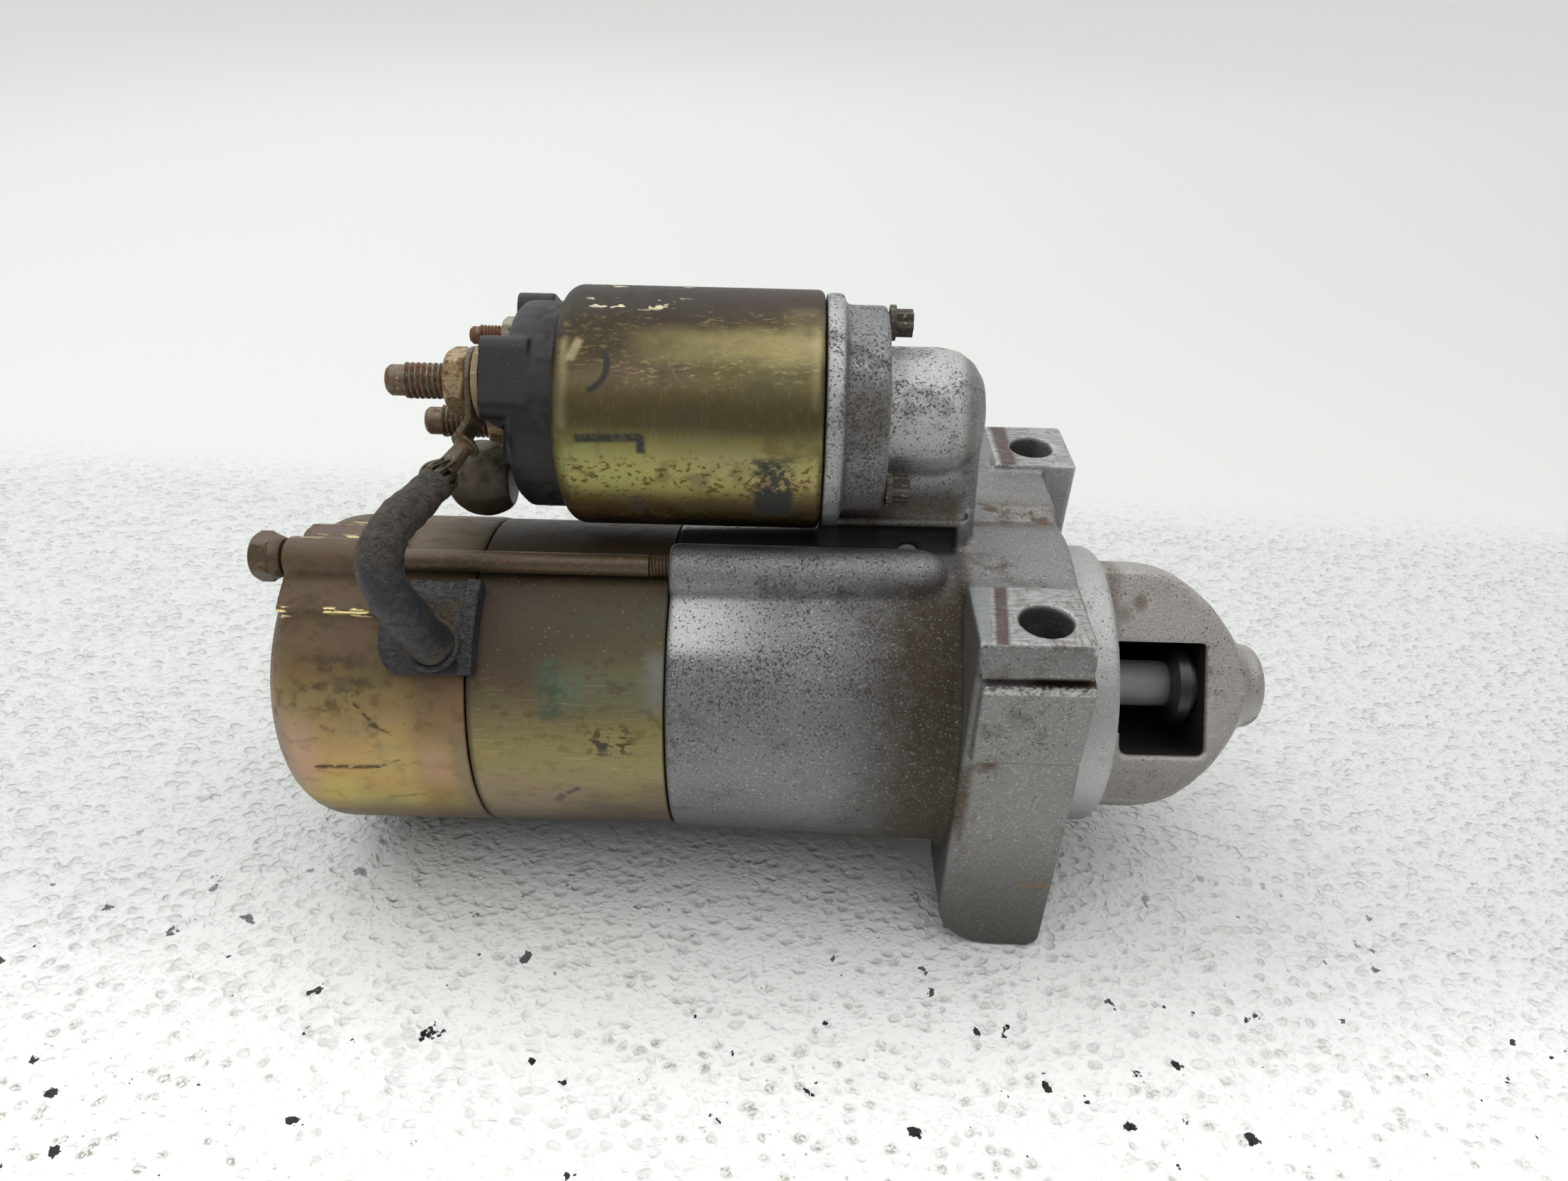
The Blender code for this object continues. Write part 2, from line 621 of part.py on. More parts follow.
def solenoid_cap():
    """The moulded cap: a disc in the can's mouth, a terminal block round each stud, and a chamber."""
    cap = turned([(56.6, 0), (56.6, CAP_RADIUS - 1.6), (58.4, CAP_RADIUS), (CAN_START + 1.8, CAP_RADIUS),
                  (CAN_START + 1.8, 24.9), (73, 24.9), (73, 0)], SOLENOID, 36)
    half = 8.9
    for side in (-1, 1):
        across = side * STUD_OFFSET
        low = across - half
        high = across + half
        up = 2.0 * -side
        outline = rounded(((low, up - half, 3), (high, up - half, 3), (high, up + half, 3),
                           (low, up + half, 3)), 3)
        block = extrude([outline], CAP_FACE, 62, origin=(0, *SOLENOID), axes=CLOCK_AXES)
        cap = join(cap, block)
    across, up = SIGNAL_STUD
    outline = rounded(((across - 8, up - 7, 2), (across + 8, up - 7, 2), (across + 8, up + 9, 3),
                       (across - 8, up + 9, 3)), 3)
    signal = extrude([outline], 53.3, 62, origin=(0, *SOLENOID), axes=CLOCK_AXES)
    foot = clocked_box((53.2, -9, -15), (60, 6, -4))
    cap = join(cap, signal, foot)
    chamber = rod(61.0, 80, 20.6, SOLENOID, 24)
    recess = rod(60.9, 64.4, 3.3, signal_stud_centre(), 12)
    cap = cut(cap, chamber, recess)
    for side in (-1, 1):
        cap = cut(cap, rod(40, 70, 4.2, place(0, side * STUD_OFFSET, STUD_UP * -side)[1:], 20))
    return cut(cap, rod(40, 70, 2.75, place(0, *SIGNAL_STUD)[1:], 16))


def motor_stud_centre():
    return place(0, -STUD_OFFSET, STUD_UP)[1:]


def battery_stud_centre():
    return place(0, STUD_OFFSET, -STUD_UP)[1:]


def signal_stud_centre():
    return place(0, *SIGNAL_STUD)[1:]


def lead_terminal():
    """A ring terminal under the motor nut, bent over to meet the lead's strands."""
    across = -STUD_OFFSET
    ring = []
    for i in range(17):
        turn = math.radians(-35 + 250 * i / 16)
        ring.append((across + 7.6 * math.cos(turn), STUD_UP + 7.6 * math.sin(turn)))
    ring += [(across - 5.2, STUD_UP - 8.8), (across + 5.2, STUD_UP - 8.8)]
    plate = extrude([ring, circle(4.3, 20, (across, STUD_UP))], 48.2, 49.6, origin=(0, *SOLENOID),
                    axes=CLOCK_AXES)
    bend_start = Vector(place(48.9, across, STUD_UP - 8.0))
    bend_end = Vector(place(44.6, across, STUD_UP - 15.0))
    along = (bend_end - bend_start).normalized()
    width = CLOCK_AXES[0]
    normal = width.cross(along)
    strap = box((-0.6, -4.6, -0.7), ((bend_end - bend_start).length, 4.6, 0.7))
    frame = Matrix((along, width, normal)).transposed().to_4x4()
    strap.data.transform(Matrix.Translation(bend_start * SCALE) @ frame)
    barrel = cylinder(*BARREL, 3.4, 20)
    return join(plate, strap, barrel)


def terminal_boot():
    """A rubber boot below the battery block."""
    bm = bmesh.new()
    bmesh.ops.create_uvsphere(bm, u_segments=16, v_segments=9, radius=1.0)
    mesh = bpy.data.meshes.new("boot")
    bm.to_mesh(mesh)
    bm.free()
    centre = Vector((46.4, 7.0, 49.6)) * SCALE
    mesh.transform(Matrix.Translation(centre) @ Matrix.Diagonal((0.0092, 0.0080, 0.0102, 1)))
    boot = add_object("boot", mesh)
    return cut(boot, box((53.0, -40, 0), (80, 40, 90)))


def contact_disc():
    rod_end = 88.6
    return turned([(63.9, 0), (63.9, 2.0), (67.0, 2.0), (67.0, 18.6), (68.6, 18.6), (68.6, 2.0),
                   (rod_end, 2.0), (rod_end, 0)], SOLENOID, 20)


def solenoid_core():
    return turned([(74.6, 24.8), (78.2, 24.8), (78.2, 9.6), (89.4, 9.6), (89.4, 2.5), (74.6, 2.5)],
                  SOLENOID, 20)


def solenoid_coil():
    return turned([(78.6, 24.8), (119.4, 24.8), (119.4, 11.2), (78.6, 11.2)], SOLENOID, 20)


def plunger():
    """The solenoid plunger, hollow for its return spring, with a hook for the lever's top."""
    body = turned([(121.8, 0), (121.8, 6.4), (102, 6.4), (102, 10.6), (131, 10.6), (132, 9.6),
                   (134, 9.6), (134, 0)], SOLENOID, 20)
    hook = lever_box((132, -4.4, SOLENOID_ARM - 6), (156.4, 4.4, SOLENOID_ARM + 5.6))
    slot = lever_box((HOOK_X - 3.6, -10, SOLENOID_ARM - 20), (HOOK_X + 3.6, 10, SOLENOID_ARM + 3.6))
    return join(body, cut(hook, slot))


# ---------------------------------------------------------------- shift lever and drive

def lever_shape(up, offset):
    """A point of the lever, measured up its bar from the pivot and across it, as (x, up)."""
    x = LEVER_X + up * math.sin(LEVER_SWING) + offset * math.cos(LEVER_SWING)
    return (x, FORK_ARM + up * math.cos(LEVER_SWING) - offset * math.sin(LEVER_SWING))


def shift_lever():
    """A forked lever: bar, pivot eye, rounded top in the plunger's hook, and a yoke with two pads."""
    outline = [lever_shape(-16.2, -2.8), lever_shape(-16.2, 2.8), lever_shape(-5, 3.4),
               lever_shape(-3, 5.6), lever_shape(3, 5.6), lever_shape(6, 3.2), lever_shape(22, 2.0)]
    for i in range(9):
        turn = math.radians(-40 + 260 * i / 8)
        outline.append(lever_shape(TOP_ARM + 2.7 * math.sin(turn), 2.7 * math.cos(turn)))
    outline += [lever_shape(22, -2.0), lever_shape(6, -3.2), lever_shape(3, -5.6),
                lever_shape(-3, -5.6), lever_shape(-5, -3.4)]
    bar = extrude_lever(outline, -4.4, 4.4)
    yoke = extrude([sector(18.1, 20.8, math.radians(-8), math.radians(188), 14)], -2.4, 2.4,
                   axes=LEVER_AXES)
    turn = Matrix.Rotation(LEVER_SWING, 4, LEVER_SIDE)
    pivot = Vector(lever_point(LEVER_X, 0, FORK_ARM)) * SCALE
    yoke.data.transform(Matrix.Translation(pivot) @ turn
                        @ Matrix.Translation(-Vector(lever_point(0, 0, FORK_ARM)) * SCALE))
    fork_x = LEVER_X - FORK_ARM * math.sin(LEVER_SWING)
    fork_up = FORK_ARM * (1 - math.cos(LEVER_SWING))
    pads = [cylinder(lever_point(fork_x, side * 19.4, fork_up), lever_point(fork_x, side * 13.5, fork_up),
                     3.4, 14) for side in (-1, 1)]
    lever = join(bar, yoke, *pads)
    hole = cylinder(lever_point(LEVER_X, -9, FORK_ARM), lever_point(LEVER_X, 9, FORK_ARM), 3.1, 24)
    return cut(lever, hole)


def extrude_lever(outline, low, high):
    """An outline of (x, up) points, run across the lever's plane."""
    plate = extrude([outline], low, high, plane="XZ")
    frame = Matrix((Vector((1, 0, 0)), LEVER_SIDE, LEVER_UP)).transposed().to_4x4()
    plate.data.transform(frame)
    return plate


def lever_pin():
    return cylinder(lever_point(LEVER_X, -9.8, FORK_ARM), lever_point(LEVER_X, 11.0, FORK_ARM), 3.0, 24)


def overrunning_clutch():
    """The collar that the fork pushes, and the clutch shell, on the output shaft."""
    return turned([(131, 17), (GROOVE[0], 17), (GROOVE[0], 13), (GROOVE[1], 13), (GROOVE[1], 17), (145, 17),
                   (146, 20.4), (167, 20.4), (168, 19.4), (168, 6.2), (131, 6.2)], segments=24)


def pinion():
    """The drive pinion with its plain sleeve, free to overrun the shaft one way."""
    teeth = gear(PINION_TEETH, PINION_MODULE, 177.5, PINION_END, bore=6.2, phase=0.1)
    lead_in = turned([(170, 0), (170, 20), (PINION_END - 2.0, 13.6), (PINION_END + 0.5, 11.4),
                      (PINION_END + 0.5, 0)], segments=24)
    teeth = combine(teeth, lead_in, "INTERSECT")
    sleeve = turned([(168.4, 10.2), (179, 10.2), (179, 6.8), (168.4, 6.8)], segments=24)
    return join(teeth, sleeve)


def stop_collar():
    return turned([(213.2, 9.4), (214.2, 10.4), (217.0, 10.4), (217.0, 9.0), (218.4, 9.0), (218.4, 6.1),
                   (213.2, 6.1)], segments=20)


# ---------------------------------------------------------------- gears and shafts

def planet_place(index):
    turn = math.radians(90 + 120 * index)
    return (PLANET_CIRCLE * math.cos(turn), PLANET_CIRCLE * math.sin(turn)), turn


def ring_gear():
    """The fixed ring gear, with a tooth gap facing each planet."""
    return gear(RING_TEETH, MODULE, GEAR_START - 1, GEAR_END + 1, phase=math.radians(90 + 180 / RING_TEETH),
                inner=True, outer=32.9)


def planet_gear(index):
    centre, turn = planet_place(index)
    return gear(PLANET_TEETH, MODULE, GEAR_START, GEAR_END, centre, phase=turn, bore=2.6)


def output_shaft():
    """The planet carrier with its three pins, in one piece with the output shaft."""
    shaft = turned([(111.0, 0), (111.0, 3.3), (107.8, 3.3), (107.8, 22.6), (112.8, 22.6), (113.6, 9.0),
                    (119, 9.0), (120, SHAFT_RADIUS), (219.6, SHAFT_RADIUS), (220, 4.9), (231.0, 4.9),
                    (231.6, 4.3), (231.6, 0)], segments=24)
    for index in range(3):
        centre, _ = planet_place(index)
        shaft = join(shaft, rod(GEAR_START + 0.2, 109, 2.5, centre, 12))
    return shaft


def armature_shaft():
    """The armature shaft, cut with the sun gear at its front end."""
    shaft = turned([(2.4, 0), (2.4, 3.6), (2.8, 4.0), (14, 4.0), (14, 5.0), (95, 5.0), (95, 3.0), (110.2, 3.0),
                    (110.2, 0)], segments=16)
    sun = gear(SUN_TEETH, MODULE, GEAR_START, GEAR_END, phase=math.radians(90), bore=2.5)
    return join(shaft, sun)


def armature_core():
    """The laminated core, with open slots for the windings."""
    outline = []
    for i in range(SLOTS):
        start = 2 * math.pi * i / SLOTS
        pitch = 2 * math.pi / SLOTS
        for radius, share in ((26.6, 0.02), (26.6, 0.35), (26.6, 0.64), (17.0, 0.55), (17.0, 0.98 + 0.13)):
            outline.append((radius * math.cos(start + pitch * share), radius * math.sin(start + pitch * share)))
    return extrude([outline, circle(5.3, 16)], 55.2, 86.8)


def armature_windings():
    """The copper windings: bars in the core's slots, joined by a ring of end turns at each end."""
    pitch = 2 * math.pi / SLOTS
    windings = turned([(47.6, 20.0), (49.0, 24.6), (54.8, 24.6), (54.8, 11), (49.0, 11)], segments=24)
    front = turned([(87.2, 24.6), (89.4, 23.4), (90.6, 20), (90.6, 11), (87.2, 11)], segments=24)
    bars = []
    for i in range(SLOTS):
        middle = pitch * (i + 0.83)
        along = Vector((0, math.cos(middle), math.sin(middle)))
        side = Vector((0, -along.z, along.y))
        bars.append(box((54.0, 18.2, -1.7), (88.0, 22.6, 1.7), axes=(along, side)))
    return join(windings, front, *bars)


def commutator():
    return turned([(25.0, 13.5), (40.6, 13.5), (40.6, 17.0), (45.4, 17.0), (45.4, 5.3), (25.0, 5.3)],
                  segments=24)


def magnet(index):
    middle = math.radians(45 + 90 * index)
    half = math.radians(35)
    return extrude([sector(27.6, 33.9, middle - half, middle + half, 6)], 52.0, 89.5)


def radial_axes(angle):
    along = Vector((0, math.cos(angle), math.sin(angle)))
    return (along, Vector((0, -along.z, along.y)))


def brush_plate():
    """The disc that carries the four brush boxes round the commutator."""
    plate = turned([(20.0, 35.6), (22.6, 35.6), (22.6, 9.4), (20.0, 9.4)], segments=24)
    for angle in BRUSH_ANGLES:
        plate = join(plate, box((22.0, 15.6, -5.6), (37.6, 33.6, 5.6), axes=radial_axes(angle)))
    for angle in BRUSH_ANGLES:
        plate = cut(plate, box((25.0, 8, -3.9), (36.0, 32.0, 3.9), axes=radial_axes(angle)))
    return plate


def brush(index):
    return box((25.4, 13.8, -3.5), (35.6, 26.4, 3.5), axes=radial_axes(BRUSH_ANGLES[index]))


# ---------------------------------------------------------------- assembly

def build():
    paint = make_materials()
    finish(drive_end_housing(), "drive_end_housing", paint["aluminium"])
    finish(rear_cover(), "rear_cover", paint["plated_steel"])
    finish(field_frame(), "field_frame", paint["plated_steel"])
    for name, angle in BOLT_ANGLES.items():
        finish(through_bolt(angle), name, paint["plated_steel"])
    finish(lead_grommet(), "lead_grommet", paint["rubber"])
    finish(tube(smooth_route(LEAD_ROUTE, 2), SLEEVE_RADIUS, 2), "lead_sleeve", paint["rubber"])
    finish(tube(BRAID_ROUTE, BRAID_RADIUS, 2), "lead_braid", paint["copper"])
    finish(lead_terminal(), "lead_terminal", paint["steel"])
    finish(terminal_boot(), "terminal_boot", paint["brown_rubber"])

    finish(solenoid_can(), "solenoid_can", paint["plated_steel"])
    finish(solenoid_cap(), "solenoid_cap", paint["black_plastic"])
    finish(terminal_stud(motor_stud_centre(), 29.9, 61.4, 3.9, 5.4), "motor_stud", paint["rusty_steel"])
    finish(terminal_stud(battery_stud_centre(), 28.7, 61.4, 3.9, 5.4), "battery_stud", paint["rusty_steel"])
    finish(terminal_stud(signal_stud_centre(), 40.6, 61.4, 2.45, 3.0), "signal_stud", paint["rusty_steel"])
    finish(hexagon(43.4, 48.0, 13, motor_stud_centre(), 4.15), "motor_nut", paint["rusty_steel"])
    finish(hexagon(44.9, 49.7, 13, battery_stud_centre(), 4.15), "battery_nut", paint["rusty_steel"])
    finish(hexagon(48.8, 52.9, 8, signal_stud_centre(), 2.7), "signal_nut", paint["rusty_steel"])
    finish(washer(49.9, 51.3, 8.0, 4.25, motor_stud_centre()), "motor_washer", paint["rusty_steel"])
    finish(washer(50.0, 51.3, 8.0, 4.25, battery_stud_centre()), "battery_washer", paint["rusty_steel"])
    for number, angle in enumerate(SCREW_ANGLES, 1):
        finish(solenoid_screw(angle), f"solenoid_screw_{number}", paint["steel"])
    finish(contact_disc(), "contact_disc", paint["copper"])
    finish(solenoid_core(), "solenoid_core", paint["steel"])
    finish(solenoid_coil(), "solenoid_coil", paint["copper"])
    finish(plunger(), "plunger", paint["steel"])
    finish(coil(90.0, 121.4, 4.8, 7, 0.6, SOLENOID), "plunger_spring", paint["steel"])

    finish(shift_lever(), "shift_lever", paint["polymer"])
    finish(lever_pin(), "lever_pin", paint["steel"])
    finish(overrunning_clutch(), "overrunning_clutch", paint["steel"])
    finish(pinion(), "pinion", paint["steel"])
    finish(stop_collar(), "stop_collar", paint["steel"])
    finish(washer(220.6, 231.9, 7.0, 5.1, SHAFT), "nose_bushing", paint["bronze"])
    finish(washer(2.6, 12, 6.8, 4.15, SHAFT), "rear_bushing", paint["bronze"])

    finish(output_shaft(), "output_shaft", paint["steel"])
    finish(ring_gear(), "ring_gear", paint["polymer"])
    for index in range(3):
        finish(planet_gear(index), f"planet_gear_{index + 1}", paint["steel"])
    finish(washer(91.3, 92.8, 32.8, 9.6, (0, 0)), "centre_plate", paint["steel"])
    finish(armature_shaft(), "armature_shaft", paint["steel"])
    finish(armature_core(), "armature_core", paint["steel"])
    finish(armature_windings(), "armature_windings", paint["copper"])
    finish(commutator(), "commutator", paint["copper"])
    for index in range(4):
        finish(magnet(index), f"magnet_{index + 1}", paint["magnet"])
    finish(brush_plate(), "brush_plate", paint["polymer"])
    for index in range(4):
        finish(brush(index), f"brush_{index + 1}", paint["carbon"])


for thing in list(bpy.data.objects):
    bpy.data.objects.remove(thing)
PARTS = bpy.data.collections.new("starter_motor")
bpy.context.scene.collection.children.link(PARTS)
build()
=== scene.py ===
"""The look of a used starter motor: plated steel, cast aluminium, rubber, and rusty studs.

Lengths in the calls below are millimetres in the frame's own axes: X along the shaft from the rear
cover to the nose, Z out of the mounting lugs, and -Y towards the camera. Angles round an axis are
degrees, with 0 facing the camera and 90 at the top.
"""

import json
import math
import random

import bmesh
import bpy
from mathutils import Matrix, Vector, noise

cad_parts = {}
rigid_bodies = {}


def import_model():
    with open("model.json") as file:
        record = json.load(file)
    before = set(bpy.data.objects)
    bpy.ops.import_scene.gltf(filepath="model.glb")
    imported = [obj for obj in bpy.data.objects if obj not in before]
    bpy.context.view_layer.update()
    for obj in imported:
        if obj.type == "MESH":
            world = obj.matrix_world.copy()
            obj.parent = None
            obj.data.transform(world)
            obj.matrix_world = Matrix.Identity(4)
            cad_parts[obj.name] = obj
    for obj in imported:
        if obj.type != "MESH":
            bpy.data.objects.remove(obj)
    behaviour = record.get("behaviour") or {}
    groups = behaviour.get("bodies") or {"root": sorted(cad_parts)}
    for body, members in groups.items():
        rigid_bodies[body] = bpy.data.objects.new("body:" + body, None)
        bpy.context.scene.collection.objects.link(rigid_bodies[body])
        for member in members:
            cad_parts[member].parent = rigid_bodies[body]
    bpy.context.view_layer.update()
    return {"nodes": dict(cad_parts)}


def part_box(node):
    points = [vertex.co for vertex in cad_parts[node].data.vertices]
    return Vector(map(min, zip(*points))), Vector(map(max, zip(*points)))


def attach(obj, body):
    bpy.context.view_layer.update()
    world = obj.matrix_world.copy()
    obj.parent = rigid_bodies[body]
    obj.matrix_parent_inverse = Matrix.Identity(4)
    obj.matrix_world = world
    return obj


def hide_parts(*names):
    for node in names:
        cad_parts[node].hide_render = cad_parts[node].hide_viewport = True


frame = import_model()
nodes = frame["nodes"]

MM = 0.001
SHAFT = (0.0, 0.0)
SOLENOID = (14.5, 66.1)
CLOCK = math.radians(34.8)
ACROSS = Vector((0, math.cos(CLOCK), -math.sin(CLOCK)))
UP = Vector((0, math.sin(CLOCK), math.cos(CLOCK)))
LEVER_SIDE = Vector((0, 0.9768, -0.2143))
LEVER_UP = Vector((0, 0.2143, 0.9768))
LUG_TOP = 43.8
THREAD_DEPTH = 0.62
BOLT_CIRCLE = 41.0
STRAND_STEPS = 12
WHITE = (1.0, 1.0, 1.0)

# Millimetres of surface for each degree round the cover, the frame and the solenoid can
COVER_ARC = 0.663
FRAME_ARC = 0.658
CAN_ARC = 0.4695


def clocked(x, across, up):
    """A point in the solenoid's own turned axes."""
    return Vector((x, *SOLENOID)) + ACROSS * across + UP * up


# ---------------------------------------------------------------- shader building

class Num:
    """A number at each point of a surface, with the usual arithmetic."""

    def __init__(self, paint, socket):
        self.paint = paint
        self.socket = socket

    def __add__(self, other):
        return self.paint.math("ADD", self, other)

    def __radd__(self, other):
        return self.paint.math("ADD", other, self)

    def __sub__(self, other):
        return self.paint.math("SUBTRACT", self, other)

    def __rsub__(self, other):
        return self.paint.math("SUBTRACT", other, self)

    def __mul__(self, other):
        return self.paint.math("MULTIPLY", self, other)

    def __rmul__(self, other):
        return self.paint.math("MULTIPLY", other, self)

    def __truediv__(self, other):
        return self.paint.math("DIVIDE", self, other)


class Masks:
    """Masks that several layers of one material share."""


class Paint:
    """One material: coordinates in millimetres, masks, colours, and a principled shader."""

    def __init__(self, name):
        self.material = bpy.data.materials.new(name)
        self.material.use_nodes = True
        self.tree = self.material.node_tree
        self.tree.nodes.clear()
        out = self.tree.nodes.new("ShaderNodeOutputMaterial")
        self.shader = self.tree.nodes.new("ShaderNodeBsdfPrincipled")
        self.link(self.shader.outputs["BSDF"], out.inputs["Surface"])
        coords = self.tree.nodes.new("ShaderNodeTexCoord")
        scale = self.tree.nodes.new("ShaderNodeVectorMath")
        scale.operation = "SCALE"
        scale.inputs["Scale"].default_value = 1000.0
        self.link(coords.outputs["Object"], scale.inputs[0])
        self.point = scale.outputs["Vector"]
        split = self.tree.nodes.new("ShaderNodeSeparateXYZ")
        self.link(self.point, split.inputs[0])
        self.x, self.y, self.z = (Num(self, split.outputs[i]) for i in range(3))
        shape = self.tree.nodes.new("ShaderNodeNewGeometry")
        turned = self.tree.nodes.new("ShaderNodeSeparateXYZ")
        self.link(coords.outputs["Normal"], turned.inputs[0])
        self.facing = [Num(self, turned.outputs[i]) for i in range(3)]
        self.edge = Num(self, shape.outputs["Pointiness"])

    def link(self, output, socket):
        self.tree.links.new(output, socket)

    def give(self, value, socket):
        if isinstance(value, Num):
            self.link(value.socket, socket)
        elif isinstance(value, bpy.types.NodeSocket):
            self.link(value, socket)
        elif isinstance(value, (tuple, list)) and len(value) == 3 and socket.type == "RGBA":
            socket.default_value = (*value, 1.0)
        else:
            socket.default_value = value

    def math(self, operation, first, second=0.0, clamp=False):
        node = self.tree.nodes.new("ShaderNodeMath")
        node.operation = operation
        node.use_clamp = clamp
        self.give(first, node.inputs[0])
        self.give(second, node.inputs[1])
        return Num(self, node.outputs[0])

    def clamp(self, value):
        return self.math("ADD", value, 0.0, clamp=True)

    def most(self, first, *others):
        """The largest of some values."""
        for other in others:
            first = self.math("MAXIMUM", first, other)
        return first

    def step(self, value, low, high):
        """A soft step from 0 at low to 1 at high, either way round."""
        node = self.tree.nodes.new("ShaderNodeMapRange")
        node.interpolation_type = "SMOOTHSTEP"
        self.give(value, node.inputs["Value"])
        flip = low > high
        node.inputs["From Min"].default_value = min(low, high)
        node.inputs["From Max"].default_value = max(low, high)
        node.inputs["To Min"].default_value = 1.0 if flip else 0.0
        node.inputs["To Max"].default_value = 0.0 if flip else 1.0
        return Num(self, node.outputs["Result"])

    def band(self, value, low, high, soft):
        return self.step(value, low - soft, low + soft) * self.step(value, high + soft, high - soft)

    def noise(self, size, detail=3.0, shift=0.0, stretch=(1, 1, 1), warp=0.0, rough=0.55):
        """Noise of a given size in millimetres, stretched along the axes."""
        spread = self.tree.nodes.new("ShaderNodeMapping")
        spread.inputs["Scale"].default_value = [1.0 / (size * s) for s in stretch]
        spread.inputs["Location"].default_value = (shift, shift * 0.7, -shift)
        self.link(self.point, spread.inputs["Vector"])
        node = self.tree.nodes.new("ShaderNodeTexNoise")
        node.inputs["Scale"].default_value = 1.0
        node.inputs["Detail"].default_value = detail
        node.inputs["Roughness"].default_value = rough
        node.inputs["Distortion"].default_value = warp
        self.link(spread.outputs["Vector"], node.inputs["Vector"])
        return Num(self, node.outputs["Fac"])

    def flecks(self, levels, *texture, **more):
        """Irregular patches: noise cut off softly between two levels."""
        return self.step(self.noise(*texture, **more), *levels)

    def mix(self, first, second, share):
        node = self.tree.nodes.new("ShaderNodeMix")
        node.data_type = "RGBA"
        self.give(share, node.inputs["Factor"])
        self.give(first, node.inputs["A"])
        self.give(second, node.inputs["B"])
        return node.outputs["Result"]

    def times(self, first, second):
        node = self.tree.nodes.new("ShaderNodeMix")
        node.data_type = "RGBA"
        node.blend_type = "MULTIPLY"
        node.inputs["Factor"].default_value = 1.0
        self.give(first, node.inputs["A"])
        self.give(second, node.inputs["B"])
        return node.outputs["Result"]

    def tint(self, colour, factors, share):
        """The colour multiplied by factors where share is 1."""
        return self.times(colour, self.mix(WHITE, factors, share))

    def pits(self, size, stretch, bend):
        """Irregular cells: the distance from each cell's middle, and a number picked for each cell."""
        spread = self.tree.nodes.new("ShaderNodeMapping")
        spread.inputs["Scale"].default_value = [1.0 / (size * s) for s in stretch]
        self.link(self.point, spread.inputs["Vector"])
        shifted = self.tree.nodes.new("ShaderNodeVectorMath")
        shifted.operation = "ADD"
        self.link(spread.outputs["Vector"], shifted.inputs[0])
        self.give((bend / size).socket, shifted.inputs[1])
        node = self.tree.nodes.new("ShaderNodeTexVoronoi")
        node.feature = "F1"
        node.inputs["Scale"].default_value = 1.0
        self.link(shifted.outputs["Vector"], node.inputs["Vector"])
        split = self.tree.nodes.new("ShaderNodeSeparateColor")
        self.link(node.outputs["Color"], split.inputs["Color"])
        return Num(self, node.outputs["Distance"]), Num(self, split.outputs["Red"])

    def shade(self, value):
        """A grey of that value."""
        node = self.tree.nodes.new("ShaderNodeCombineColor")
        for channel in ("Red", "Green", "Blue"):
            self.give(value, node.inputs[channel])
        return node.outputs["Color"]

    def ramp(self, value, stops):
        node = self.tree.nodes.new("ShaderNodeValToRGB")
        elements = node.color_ramp.elements
        while len(elements) < len(stops):
            elements.new(0.5)
        for element, (place, colour) in zip(elements, stops):
            element.position = place
            element.color = (*colour, 1.0)
        self.give(value, node.inputs["Fac"])
        return node.outputs["Color"]

    def around(self, centre):
        """How high round an axis along X in degrees, alike on both sides, and the distance from it."""
        across = self.y - centre[0]
        high = self.z - centre[1]
        angle = self.math("ARCTAN2", high, self.math("ABSOLUTE", across)) * (180.0 / math.pi)
        distance = self.math("SQRT", across * across + high * high)
        return angle, distance

    def patch(self, u, v, centre, half, turn=0.0, soft=0.4):
        """A soft-edged rectangle on a surface with coordinates u and v."""
        cosine = math.cos(math.radians(turn))
        sine = math.sin(math.radians(turn))
        from_u = u - centre[0]
        from_v = v - centre[1]
        along = self.math("ABSOLUTE", from_u * cosine + from_v * sine)
        over = self.math("ABSOLUTE", from_v * cosine - from_u * sine)
        return (self.step(along, half[0] + soft, half[0] - soft)
                * self.step(over, half[1] + soft, half[1] - soft))

    def patches(self, u, v, rows):
        """Several rectangles; each row is a centre, half sizes, a turn, a softness and a strength."""
        return self.most(*(self.patch(u, v, *row) * strength for *row, strength in rows))

    def spot(self, u, v, centre, radius, soft):
        """A soft-edged round spot on a surface with coordinates u and v."""
        from_u = u - centre[0]
        from_v = v - centre[1]
        return self.step(self.math("SQRT", from_u * from_u + from_v * from_v), radius + soft, radius - soft)

    def arc(self, u, v, centre, radius, width, start, end, soft=0.3):
        """A soft-edged arc on a surface with coordinates u and v, angles in degrees."""
        from_u = u - centre[0]
        from_v = v - centre[1]
        distance = self.math("SQRT", from_u * from_u + from_v * from_v)
        angle = self.math("ARCTAN2", from_v, from_u) * (180.0 / math.pi)
        return (self.band(distance, radius - width, radius + width, soft)
                * self.band(angle, start, end, 4.0))

    def finish(self, colour, rough, metal=0.0, heights=(), level=0.5):
        """heights is a list of (height value, depth in millimetres) that build the bump."""
        shader = self.shader
        self.give(colour, shader.inputs["Base Color"])
        self.give(rough, shader.inputs["Roughness"])
        self.give(metal, shader.inputs["Metallic"])
        shader.inputs["Specular IOR Level"].default_value = level
        normal = None
        for height, depth in heights:
            bump = self.tree.nodes.new("ShaderNodeBump")
            bump.inputs["Distance"].default_value = depth * MM
            self.give(height, bump.inputs["Height"])
            if normal:
                self.link(normal, bump.inputs["Normal"])
            normal = bump.outputs["Normal"]
        if normal:
            self.link(normal, shader.inputs["Normal"])
        return self.material


